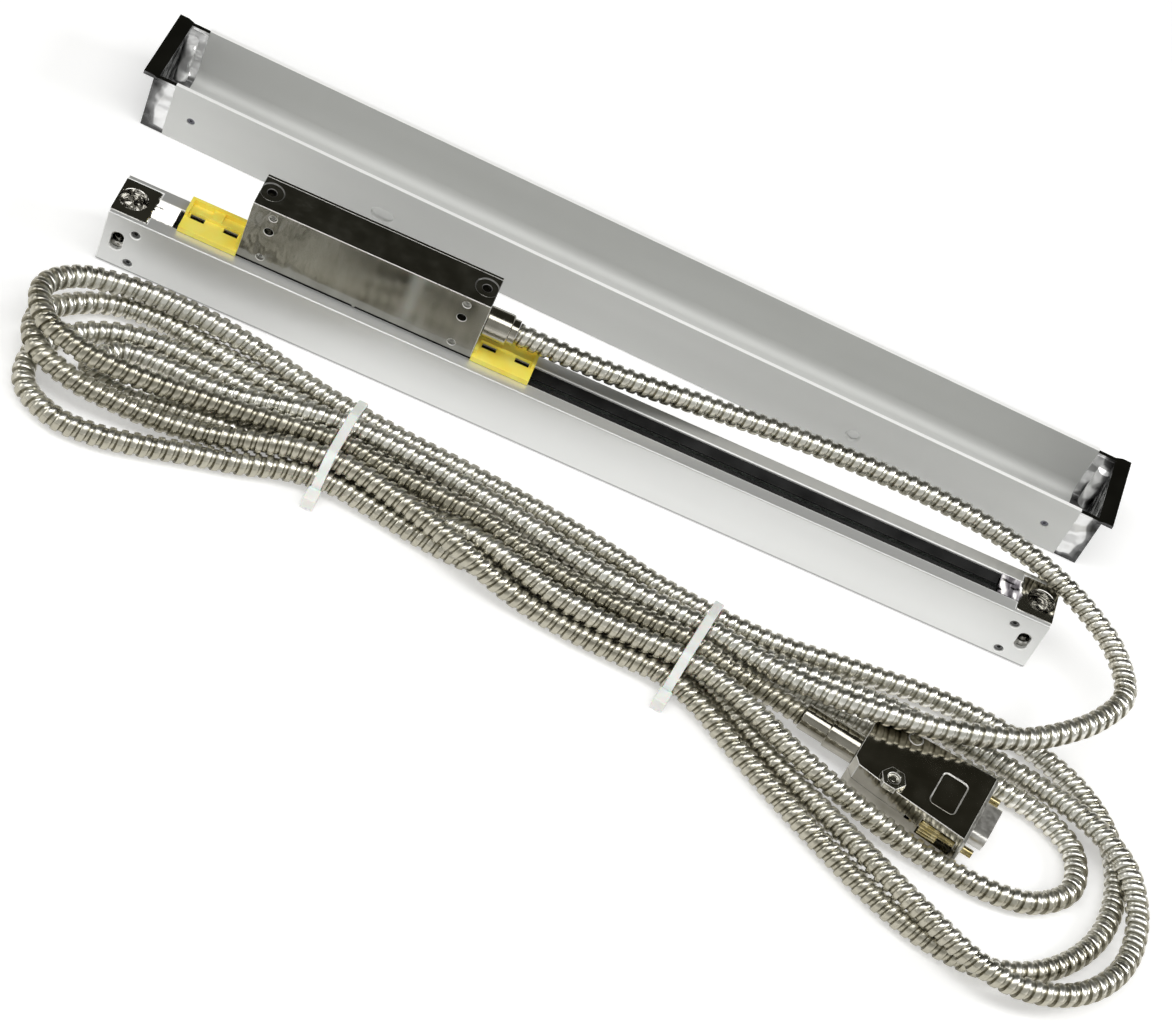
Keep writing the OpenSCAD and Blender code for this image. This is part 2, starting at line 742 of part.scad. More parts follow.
// a miniature ball bearing: two rings and the shield between them
module bearing(w) {
    r = bearing_d / 2;
    b = bearing_bore / 2;
    color("lightgray") rotate_extrude()
        polygon([[b, -w / 2], [b + 0.4, -w / 2], [b + 0.45, -w / 2 + 0.15], [r - 0.45, -w / 2 + 0.15],
            [r - 0.4, -w / 2], [r - 0.1, -w / 2], [r, -w / 2 + 0.1], [r, w / 2 - 0.1], [r - 0.1, w / 2],
            [r - 0.4, w / 2], [r - 0.45, w / 2 - 0.15], [b + 0.45, w / 2 - 0.15], [b + 0.4, w / 2],
            [b, w / 2]]);
}

module face_roller(i) {
    translate([face_bearings[i][0], face_y, face_bearings[i][1]]) bearing(bearing_w);
}

module edge_roller(s) {
    translate([head_mid + s * bearing_x, edge_y, edge_z]) rotate([-90, 0, 0]) bearing(edge_w);
}

// collar, ring and spigot that clamp the conduit in the head's right end
module cable_gland() {
    color("gainsboro") translate([head_x1, gy, gz]) rotate([0, 90, 0]) {
        translate([0, 0, -spigot_len]) cylinder(r = spigot_r, h = spigot_len + eps);
        rotate_extrude()
            polygon([[0, 0.02], [gland_d / 2 - 0.3, 0.02], [gland_d / 2, 0.3], [gland_d / 2, gland_len - 0.5],
                [gland_d / 2 - 0.5, gland_len], [cord_r + 0.6, gland_len], [cord_r + 0.6, gland_len + gland_ring - 0.1],
                [0, gland_len + gland_ring - 0.1]]);
    }
}

// bracket that holds the head while the scale travels: a tray with a fin in the slot
module transport_bracket(x0, head_side) {
    y1 = bracket_back;
    y0 = y1 - bracket_w;
    z0 = body_h + 0.15;
    x1 = x0 + bracket_len;
    mid = x0 + bracket_len / 2;
    t = bracket_t;
    color("gold") difference() {
        union() {
            box([x0, y0, z0], [x1, y1, z0 + 2.2]);
            // rim round the rear half, and the rib across its middle
            box([x0, y1 - t, z0], [x1, y1, z0 + bracket_h]);
            for (x = [x0, x1 - t])
                box([x, 0.4, z0], [x + t, y1, z0 + bracket_h]);
            box([mid - 2, 2.4, z0], [mid + 2, y1, z0 + bracket_h - 0.8]);
            // sloping ramp behind the slots
            translate([mid, 0, 0]) along_x(bracket_len)
                polygon([[2.4, z0], [2.4, z0 + 3.4], [5, z0 + 3], [6.4, z0]]);
            // fin in the slot
            box([x0 + 4, -blade_t / 2 + 0.1, lip_z - 0.2], [x1 - 4, blade_t / 2 - 0.1, z0 + eps]);
            // low upright against the head's end face
            x2 = head_side > 0 ? x1 - t : x0;
            box([x2, y0 + 1.6, z0], [x2 + t, y1, z0 + bracket_h]);
        }
        // slots, hollow behind and below
        for (x = [x0 + slot_inset, x1 - slot_inset]) {
            box([x - slot_half, 0.3, z0 - eps], [x + slot_half, 2.4, z0 + bracket_h]);
            box([x - slot_half, 2.4 - eps, z0 - eps], [x + slot_half, 5, z0 + 2]);
        }
    }
}

module transport_bracket_left() {
    transport_bracket(head_x0 - bracket_len - 0.1, 1);
}

module transport_bracket_right() {
    transport_bracket(head_x1 + 0.1, -1);
}

// ---- cable ----

module conduit() {
    color("darkgray") sweep(open_line(ROUTE, ROUTE_STEP), cord_r, SIDES);
}

// inside of a tie's band, as a 2D shape in Y and Z
module tie_inside(half_w, grow) {
    round_rect([-half_w - grow, tie_t + 0.1 - grow], [half_w + grow, hank_h + grow], tie_r);
}

module conduit_hank() {
    color("darkgray") difference() {
        linear_extrude(hank_h) polygon(closed_line(HANK, HANK_STEP));
        // grooves where the ties draw the bundle together
        for (t = TIES)
            translate([t[0], t[1], 0]) rotate([0, 0, -t[3]]) difference() {
                box([-tie_w / 2 - 0.3, -reach, -eps], [tie_w / 2 + 0.3, reach, hank_h + 5]);
                along_x(tie_w + 2) tie_inside(t[2] - 0.2, -0.05);
            }
        // room for the ties' heads
        for (t = TIES)
            translate([t[0], t[1], 0]) rotate([0, 0, -t[3]])
                box([-tie_head[0] / 2 - 0.2, -reach, -eps],
                    [tie_head[0] / 2 + 0.2, -t[2] - 0.2, tie_head[2] + 0.5]);
        // space inside the right loops, where the connector lies
        at_connector() translate([0, 0, -con_at[2] - eps])
            linear_extrude(hank_h + 1)
                polygon([[-0.3, -neck_room], [hood_x - 3, -neck_room], [hood_x, -14], [hood_x + 20, -hood_room],
                    [flange_x + 16, -hood_room], [flange_x + front_room, -8], [flange_x + front_room, 6],
                    [flange_x + 14, hood_room], [hood_x + 20, hood_room], [hood_x, 14],
                    [hood_x - 3, neck_room], [-0.3, neck_room]]);
    }
}

module cable_tie(t) {
    hz = tie_head[2];
    color("whitesmoke") translate([t[0], t[1], 0]) rotate([0, 0, -t[3]]) {
        difference() {
            along_x(tie_w) tie_inside(t[2], tie_t);
            along_x(tie_w + 1) tie_inside(t[2], 0);
        }
        // ratchet head on the near side
        difference() {
            box([-tie_head[0] / 2, -t[2] - tie_t - tie_head[1] + 1, 0.3],
                [tie_head[0] / 2, -t[2] - 0.3, 0.3 + hz]);
            box([-tie_w / 2 + 0.4, -t[2] - tie_t - 3.4, 0], [tie_w / 2 - 0.4, -t[2] - tie_t - 2, hz + 1]);
        }
    }
}

module conduit_sleeve() {
    color("gainsboro") at_connector() rotate([0, 90, 0]) rotate_extrude()
        polygon([[0, 0], [sleeve_r - 0.3, 0], [sleeve_r, 0.3], [sleeve_r, sleeve_len],
            [neck_r - 0.3, sleeve_len], [neck_r, sleeve_len + 0.3], [neck_r, hood_x - 0.05], [0, hood_x - 0.05]]);
}

// ---- connector ----

// plan of the hood: a narrow shoulder that widens to the flange
module hood_plan() {
    polygon([[hood_x, -9], [hood_x + 2.5, -11.8], [hood_x + 12, -13], [flange_x - 1, -flange_w / 2 + 0.3],
        [flange_x - 0.05, -flange_w / 2 + 0.3], [flange_x - 0.05, flange_w / 2 - 0.3],
        [flange_x - 1, flange_w / 2 - 0.3], [hood_x + 12, 13], [hood_x + 2.5, 11.8], [hood_x, 9]]);
}

// one half of the hood; side is 1 for the upper half and -1 for the lower
module hood_half(side) {
    h = hood_h / 2;
    wall = 1.4;
    mirror([0, 0, side < 0 ? 1 : 0]) difference() {
        translate([0, 0, 0.02]) linear_extrude(h - 0.02) hood_plan();
        // hollow
        translate([0, 0, -eps]) linear_extrude(h - wall)
            polygon([[hood_x + 2, -8], [hood_x + 6, -10.6], [flange_x - 18, -10.8], [flange_x - 17, -8.2],
                [flange_x - 1.6, -8.2], [flange_x - 1.6, 8.2], [flange_x - 17, 8.2],
                [flange_x - 18, 10.8], [hood_x + 6, 10.6], [hood_x + 2, 8]]);
        // cable entry
        translate([hood_x - 1, 0, 0]) rotate([0, 90, 0]) cylinder(r = 3.2, h = 4);
        // side windows for the thumbscrews' knobs, and their shank bores
        for (s = [-1, 1]) {
            box([knob_x - 0.5, s > 0 ? 8.9 : -20, -eps], [flange_x - 1.8, s > 0 ? 20 : -8.9, knob_d / 2 + 0.5]);
            translate([knob_x - 6, s * screw_pitch / 2, 0]) rotate([0, 90, 0])
                cylinder(r = screw_r + 0.05, h = flange_x - knob_x + 8);
            along_z(hood_screw_x, s * hood_screw_y, 1.35, -eps, h + eps);
            if (side > 0 && s > 0)
                along_z(hood_screw_x, hood_screw_y, far_head_r + 0.1, h - far_head_h, h + eps);
        }
        // shallow square recess on the flat, and the opening for the connector's body
        if (side > 0)
            translate([hood_x + recess_at[0], recess_at[1], h - 0.3]) linear_extrude(1)
                round_rect(-recess_size / 2, recess_size / 2, 1.8);
        box([flange_x - 2, -8.6, -eps], [flange_x + 1, 8.6, d_h / 2]);
    }
}

module hood_lower() {
    color("gainsboro") at_connector() hood_half(-1);
}

module hood_upper() {
    color("gainsboro") at_connector() hood_half(1);
}

// hexagon-headed screws that hold the halves together
module hood_screws() {
    h = hood_h / 2;
    color("gainsboro") at_connector()
        {
            // near screw, with a raised hexagonal head
            along_z(hood_screw_x, -hood_screw_y, 1.3, -h + 0.4, h + eps);
            translate([hood_screw_x, -hood_screw_y, h]) difference() {
                cylinder(r = hex_r, h = hex_h, $fn = 6);
                translate([0, 0, hex_h - 1]) cylinder(r = 2.2, h = 2, $fn = 24);
            }
            // far screw, with a sunk round head
            along_z(hood_screw_x, hood_screw_y, 1.3, -h + 0.4, h - far_head_h + eps);
            along_z(hood_screw_x, hood_screw_y, far_head_r, h - far_head_h, h - 0.1);
        }
}

// outline of the D, wide side up
module d_outline(w, h, r) {
    slope = h * tan(10);
    hull() {
        for (s = [-1, 1]) {
            translate([s * (w / 2 - r), h / 2 - r]) circle(r, $fn = 24);
            translate([s * (w / 2 - r - slope), -h / 2 + r]) circle(r, $fn = 24);
        }
    }
}

module connector_shell() {
    color("gainsboro") at_connector() difference() {
        union() {
            translate([flange_x, -flange_w / 2, -flange_h / 2]) cube([flange_t, flange_w, flange_h]);
            translate([flange_x + flange_t - eps, 0, 0]) rotate([90, 0, 90])
                linear_extrude(d_len) d_outline(d_w, d_h, 2.4);
        }
        translate([flange_x - eps, 0, 0]) rotate([90, 0, 90])
            linear_extrude(d_len + flange_t + 1) d_outline(d_w - 0.9, d_h - 0.9, 2);
        for (s = [-1, 1])
            translate([flange_x - 1, s * screw_pitch / 2, 0]) rotate([0, 90, 0])
                cylinder(r = screw_r + 0.05, h = flange_t + 2);
    }
}

// positions of the nine contacts across and up
function contact(i) = i < 5 ? [(i - 2) * 2.76, 1.42] : [(i - 6.5) * 2.76, -1.42];

module connector_insulator() {
    color([0.1, 0.1, 0.12]) at_connector() difference() {
        union() {
            translate([flange_x - 1.4, 0, 0]) rotate([90, 0, 90])
                linear_extrude(2.2) d_outline(d_w - 1, d_h - 1, 2);
            translate([flange_x - 5.4, -7.9, -3.6]) cube([4.4, 15.8, 7.2]);
        }
        for (i = [0:8])
            translate([flange_x - 6, contact(i)[0], contact(i)[1]]) rotate([0, 90, 0])
                cylinder(r = 0.52, h = 8, $fn = 24);
    }
}

module connector_pins() {
    color("gold") at_connector()
        for (i = [0:8])
            translate([flange_x - 8, contact(i)[0], contact(i)[1]]) rotate([0, 90, 0]) {
                cylinder(r = 0.5, h = 13.2, $fn = 24);
                translate([0, 0, 13.2]) sphere(0.48, $fn = 16);
            }
}

// a thumbscrew: knurled knob, shank and threaded tip
module thumb_screw(s) {
    color("darkkhaki") at_connector() translate([knob_x, s * screw_pitch / 2, 0]) rotate([0, 90, 0]) {
        difference() {
            cylinder(r = knob_d / 2, h = knob_len);
            for (k = [0:17])
                rotate([0, 0, k * 20]) translate([knob_d / 2 + 0.1, 0, -eps])
                    cylinder(r = 0.35, h = knob_len + 1, $fn = 16);
        }
        translate([0, 0, -4]) cylinder(r = screw_r, h = 4 + eps);
        translate([0, 0, knob_len - eps]) cylinder(r = screw_r, h = flange_x + flange_t - knob_x - knob_len + 4);
    }
}

module thumb_screw_far() {
    thumb_screw(1);
}

module thumb_screw_near() {
    thumb_screw(-1);
}

// ---- dust cover ----

// section of the channel: a U with round inner corners
module channel_section(w, h, t, r) {
    difference() {
        translate([-w / 2, 0]) square([w, h]);
        translate([-w / 2 + t, t + r]) square([w - 2 * t, h]);
        translate([-w / 2 + t + r, t]) square([w - 2 * t - 2 * r, h]);
        for (s = [-1, 1])
            translate([s * (w / 2 - t - r), t + r]) circle(r);
    }
}

module cover_channel() {
    y0 = -cover_w / 2 - eps;
    y1 = -cover_w / 2 + cover_t + eps;
    color("silver") at_cover() difference() {
        along_x(cover_len) channel_section(cover_w, cover_h, cover_t, cover_r);
        // round countersunk hole and level slot for the cover's own screws
        along_y(cover_hole_x, cover_hole_z, 2.25, y0, y1);
        translate([cover_hole_x, y0, cover_hole_z]) rotate([-90, 0, 0])
            cylinder(r1 = 3.1, r2 = 2.25, h = 0.85);
        for (s = [-1, 1])
            along_y(-cover_hole_x + s * 1.6, cover_hole_z, 2.7, y0, y1);
        box([-cover_hole_x - 1.6, y0, cover_hole_z - 2.7], [-cover_hole_x + 1.6, y1, cover_hole_z + 2.7]);
        for (s = [-1, 1])
            along_y(s * cap_screw_x, cap_screw_z, 1.5, y0, y1);
    }
}

// right end cap: a short channel with an end wall, a flat lip on top and a tongue in the channel
module cover_cap() {
    x0 = cover_len / 2 + 0.05;
    x1 = x0 + cap_len;
    w = cover_w - 0.6;
    h = cover_h - 0.8;
    tongue_x = cap_screw_x - 5;
    y0 = -cover_w / 2 + cover_t + 0.05;
    color("gainsboro") difference() {
        union() {
            translate([(x0 + x1) / 2, 0, 0]) along_x(cap_len)
                channel_section(w, h, 1.6, cover_r);
            box([x1 - 1.6, -w / 2, 0], [x1, w / 2, cover_h - 1]);
            // lip with a sloping inner edge
            rotate([90, 0, 0]) linear_extrude(cover_w, center = true)
                polygon([[x1 - 1.6, cover_h - 1.5], [x1 + cap_lip, cover_h - 1.5], [x1 + cap_lip, cover_h],
                    [x1 + 0.7, cover_h], [x1 - 1.6, cover_h - 0.9]]);
            // boss in the corner of the end wall
            along_z(x1 - 3.6, w / 2 - 5.4, 2.6, 1, h - 3);
            // tongue behind the front wall
            box([tongue_x, y0, cover_t + cover_r], [x0 + 0.5, y0 + cap_tongue, h - 4]);
        }
        along_y(cap_screw_x, cap_screw_z, 1.02, y0 - eps, y0 + cap_tongue + eps);
    }
}

module cover_cap_right() {
    at_cover() cover_cap();
}

module cover_cap_left() {
    at_cover() mirror([1, 0, 0]) cover_cap();
}

// set screws in the front wall's end holes
module cover_cap_screws() {
    color("dimgray") at_cover()
        for (s = [-1, 1]) {
            along_y(s * cap_screw_x, cap_screw_z, 1, -cover_w / 2 + 1, -cover_w / 2 + 4.4);
            difference() {
                along_y(s * cap_screw_x, cap_screw_z, 1.45, -cover_w / 2 + 0.6, -cover_w / 2 + cover_t);
                translate([s * cap_screw_x, -cover_w / 2 + 0.5, cap_screw_z]) rotate([-90, 0, 0])
                    cylinder(r = 0.7, h = 0.6, $fn = 6);
            }
        }
}

scale_body();
end_block_left();
end_block_right();
end_block_screws();
glass_scale();
glass_clamp_strip();
seal_lip_front();
seal_lip_back();
head_housing();
head_back_plate();
back_plate_screws();
front_screws();
circuit_board();
neck_blade();
neck_screws();
coupling_spring();
carriage();
sensor_board();
sensor_board_screws();
led_lamp();
condenser_lens();
index_grating();
roller_pins();
cable_gland();
transport_bracket_left();
transport_bracket_right();
face_roller(0);  // face_roller_left
face_roller(1);  // face_roller_upper
face_roller(2);  // face_roller_right
edge_roller(-1);  // edge_roller_left
edge_roller(1);  // edge_roller_right
conduit();
conduit_hank();
cable_tie(TIES[0]);  // cable_tie_left
cable_tie(TIES[1]);  // cable_tie_right
conduit_sleeve();
hood_lower();
hood_upper();
hood_screws();
connector_shell();
connector_insulator();
connector_pins();
thumb_screw_far();
thumb_screw_near();
cover_channel();
cover_cap_left();
cover_cap_right();
cover_cap_screws();
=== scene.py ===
# %% [markdown]
# # A linear glass scale with its armoured cable and dust cover
# The solids of this measuring scale come from a CAD model. Here they get their finishes, and the
# soft or finely shaped pieces (the coiled cable, its ties) are modelled new in the same frame.
# X runs along the scale, Y away from the viewer and Z up. Lengths are in metres, except for the
# cable, its ties and the rounded edges, whose sizes are in millimetres and are multiplied by MM.

# %% Load the fixed frame
import math

import bmesh
import bpy
from mathutils import Matrix, Vector, geometry


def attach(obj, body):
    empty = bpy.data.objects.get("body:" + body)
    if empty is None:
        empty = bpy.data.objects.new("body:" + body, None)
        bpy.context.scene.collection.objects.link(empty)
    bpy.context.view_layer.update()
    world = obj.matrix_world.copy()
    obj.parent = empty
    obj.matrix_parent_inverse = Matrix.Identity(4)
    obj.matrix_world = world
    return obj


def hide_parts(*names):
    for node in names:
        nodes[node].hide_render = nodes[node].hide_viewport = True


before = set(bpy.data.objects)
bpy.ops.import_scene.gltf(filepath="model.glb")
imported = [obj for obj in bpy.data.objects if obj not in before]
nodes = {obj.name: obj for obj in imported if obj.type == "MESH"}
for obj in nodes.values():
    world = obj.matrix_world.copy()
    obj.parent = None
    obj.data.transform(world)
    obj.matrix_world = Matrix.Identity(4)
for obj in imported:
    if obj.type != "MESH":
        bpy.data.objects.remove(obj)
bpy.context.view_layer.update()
MM = 0.001
scene = bpy.context.scene

# %% [markdown]
# ## Camera
# The scale is seen from in front and above, from more than a metre away with a long lens, so its
# edges hardly converge. The camera is rolled, which lays the scale across the frame. Its axes are
# written out from a yaw, a pitch and a roll, because that is easier to read than Euler angles.

# %% Camera
CAMERA_AT = Vector((-0.03942, -0.80119, 0.85715))
YAW, PITCH, ROLL = (math.radians(a) for a in (3.918, 47.794, 26.705))
ahead = Vector((math.sin(YAW) * math.cos(PITCH), math.cos(YAW) * math.cos(PITCH), -math.sin(PITCH)))
level = Vector((math.cos(YAW), -math.sin(YAW), 0))
upright = level.cross(ahead)
right = math.cos(ROLL) * level + math.sin(ROLL) * upright
up = math.cos(ROLL) * upright - math.sin(ROLL) * level
camera = bpy.data.objects.new("camera", bpy.data.cameras.new("camera"))
scene.collection.objects.link(camera)
camera.matrix_world = Matrix.Translation(CAMERA_AT) @ Matrix((right, up, -ahead)).transposed().to_4x4()
camera.data.lens = 103.4
camera.data.sensor_width = 36
camera.data.clip_start, camera.data.clip_end = 0.05, 20
scene.camera = camera
scene.view_settings.view_transform = "Standard"
print("camera to the origin, m:", round(CAMERA_AT.length, 3))

# %% [markdown]
# ## Floor and light
# Chrome shows what stands round it, so the room matters as much as the lamps. Here the room is dim
# behind the scale, which makes the polished tops dark, and wide soft lamps above and in front give
# the tubes their long highlights. The floor glows for the camera and for mirrors only, so that it
# looks white and doesn't light the scale from below.

# %% Floor
def linked(name, mesh):
    """An object at the origin with this mesh, in the scene."""
    obj = bpy.data.objects.new(name, mesh)
    scene.collection.objects.link(obj)
    return obj


def mesh_from(bm, name, smooth=True):
    """The finished mesh of a bmesh, with smooth or flat faces."""
    for face in bm.faces:
        face.smooth = smooth
    mesh = bpy.data.meshes.new(name)
    bm.to_mesh(mesh)
    bm.free()
    return mesh


FLOOR_REACH = 4
BELOW_THE_SCALE = 0.0002
bm = bmesh.new()
bmesh.ops.create_grid(bm, x_segments=1, y_segments=1, size=FLOOR_REACH)
bmesh.ops.translate(bm, verts=bm.verts, vec=(0, 0, -BELOW_THE_SCALE))
floor = linked("floor", mesh_from(bm, "floor", smooth=False))


def shader_tree(material):
    """The node tree of a new material, emptied, with its output node."""
    material.use_nodes = True
    tree = material.node_tree
    tree.nodes.clear()
    return tree, tree.nodes.new("ShaderNodeOutputMaterial")


paper = bpy.data.materials.new("paper floor")
tree, output = shader_tree(paper)
matt = tree.nodes.new("ShaderNodeBsdfDiffuse")
matt.inputs["Color"].default_value = (0.84, 0.84, 0.84, 1)
glow = tree.nodes.new("ShaderNodeEmission")
glow.inputs["Color"].default_value = (1, 1, 1, 1)
glow.inputs["Strength"].default_value = 0.34
lit = tree.nodes.new("ShaderNodeAddShader")
path = tree.nodes.new("ShaderNodeLightPath")
seen = tree.nodes.new("ShaderNodeMixShader")
tree.links.new(matt.outputs[0], lit.inputs[0])
tree.links.new(glow.outputs[0], lit.inputs[1])
any_ray = path.outputs["Is Camera Ray"]
for kind in ("Is Glossy Ray", "Is Transmission Ray"):
    larger = tree.nodes.new("ShaderNodeMath")
    larger.operation = "MAXIMUM"
    tree.links.new(any_ray, larger.inputs[0])
    tree.links.new(path.outputs[kind], larger.inputs[1])
    any_ray = larger.outputs[0]
tree.links.new(any_ray, seen.inputs[0])
tree.links.new(matt.outputs[0], seen.inputs[1])
tree.links.new(lit.outputs[0], seen.inputs[2])
tree.links.new(seen.outputs[0], output.inputs["Surface"])
floor.data.materials.append(paper)
print("floor faces:", len(floor.data.polygons))

# %% [markdown]
# ## Room
# The room is a plain background that lights the scale weakly and shows in its chrome. It is paler
# in front of the scale than behind it, and lighter near the horizon, as pale walls are.

# %% Room
def ramp_of(tree, source, low, high, stops):
    """A colour ramp over a value that runs from low to high."""
    span = tree.nodes.new("ShaderNodeMapRange")
    span.inputs["From Min"].default_value, span.inputs["From Max"].default_value = low, high
    tree.links.new(source, span.inputs["Value"])
    ramp = tree.nodes.new("ShaderNodeValToRGB")
    while len(ramp.color_ramp.elements) < len(stops):
        ramp.color_ramp.elements.new(0.5)
    for element, (position, colour) in zip(ramp.color_ramp.elements, stops):
        element.position, element.color = position, (*colour, 1)
    tree.links.new(span.outputs[0], ramp.inputs[0])
    return ramp


world = bpy.data.worlds.new("studio")
scene.world = world
world.use_nodes = True
tree = world.node_tree
tree.nodes.clear()
direction = tree.nodes.new("ShaderNodeTexCoord")
split = tree.nodes.new("ShaderNodeSeparateXYZ")
tree.links.new(direction.outputs["Generated"], split.inputs[0])
front_to_back = ramp_of(tree, split.outputs["Y"], -1, 1, [
    (0.15, (0.42, 0.42, 0.40)), (0.42, (0.20, 0.20, 0.18)), (0.58, (0.035, 0.034, 0.026)),
    (1.0, (0.035, 0.034, 0.026))])
horizon = ramp_of(tree, split.outputs["Z"], 0.02, 0.38, [(0.0, (1, 1, 1)), (1.0, (0, 0, 0))])
sky = tree.nodes.new("ShaderNodeMix")
sky.data_type = "RGBA"
tree.links.new(horizon.outputs[0], sky.inputs["Factor"])
tree.links.new(front_to_back.outputs[0], sky.inputs["A"])
low_sky = ramp_of(tree, split.outputs["Y"], -1, 1, [
    (0.0, (0.86, 0.86, 0.85)), (0.3, (0.80, 0.80, 0.78)), (0.46, (0.34, 0.34, 0.31)),
    (0.7, (0.14, 0.14, 0.12))])
tree.links.new(low_sky.outputs[0], sky.inputs["B"])
room = tree.nodes.new("ShaderNodeBackground")
tree.links.new(sky.outputs["Result"], room.inputs["Color"])
out = tree.nodes.new("ShaderNodeOutputWorld")
tree.links.new(room.outputs[0], out.inputs["Surface"])
print("room nodes:", len(tree.nodes))

# %% [markdown]
# ## Lamps
# A wide lamp is a soft box: it draws a long even highlight along a tube. The front lamp lights the
# faces but isn't mirrored, since the chrome would show it as a white bar.

# %% Lamps
def soft_lamp(name, at, towards, size, watts):
    """A rectangular lamp that faces a point."""
    data = bpy.data.lights.new(name, "AREA")
    data.shape = "RECTANGLE"
    data.size, data.size_y = size
    data.energy = watts
    lamp = bpy.data.objects.new(name, data)
    scene.collection.objects.link(lamp)
    aim = Vector(towards) - Vector(at)
    lamp.matrix_world = Matrix.Translation(at) @ aim.to_track_quat("-Z", "Y").to_matrix().to_4x4()
    return lamp


soft_lamp("top lamp", (0.0, -0.22, 1.3), (0, -0.05, 0), (1.9, 0.55), 10)
front = soft_lamp("front lamp", (-0.2, -1.3, 1.0), (0, 0, 0), (1.8, 0.5), 5)
front.visible_glossy = False
soft_lamp("left lamp", (-1.3, 0.0, 0.55), (0, 0, 0), (0.9, 0.5), 3)
soft_lamp("right lamp", (1.2, 0.15, 0.8), (0, 0, 0), (0.5, 0.4), 6)

# %% [markdown]
# ## The armoured cable
# The cable is a steel strip wound in a helix round the wires. It leaves the head, arches over the
# back of the scale, and lies in front as a hank of eight strands that two ties hold together. A
# smooth curve goes through points about 16 mm apart, in millimetres.
#
# These points weren't chosen by hand. Another program settled a rough line of the run, pushing its
# strands apart and holding them under the ties, and the points were read off the result. So this
# list is data and not a design: a thicker cable or a moved tie would need a new one. A better
# script has a short list chosen by hand and settles it with a loop of its own.

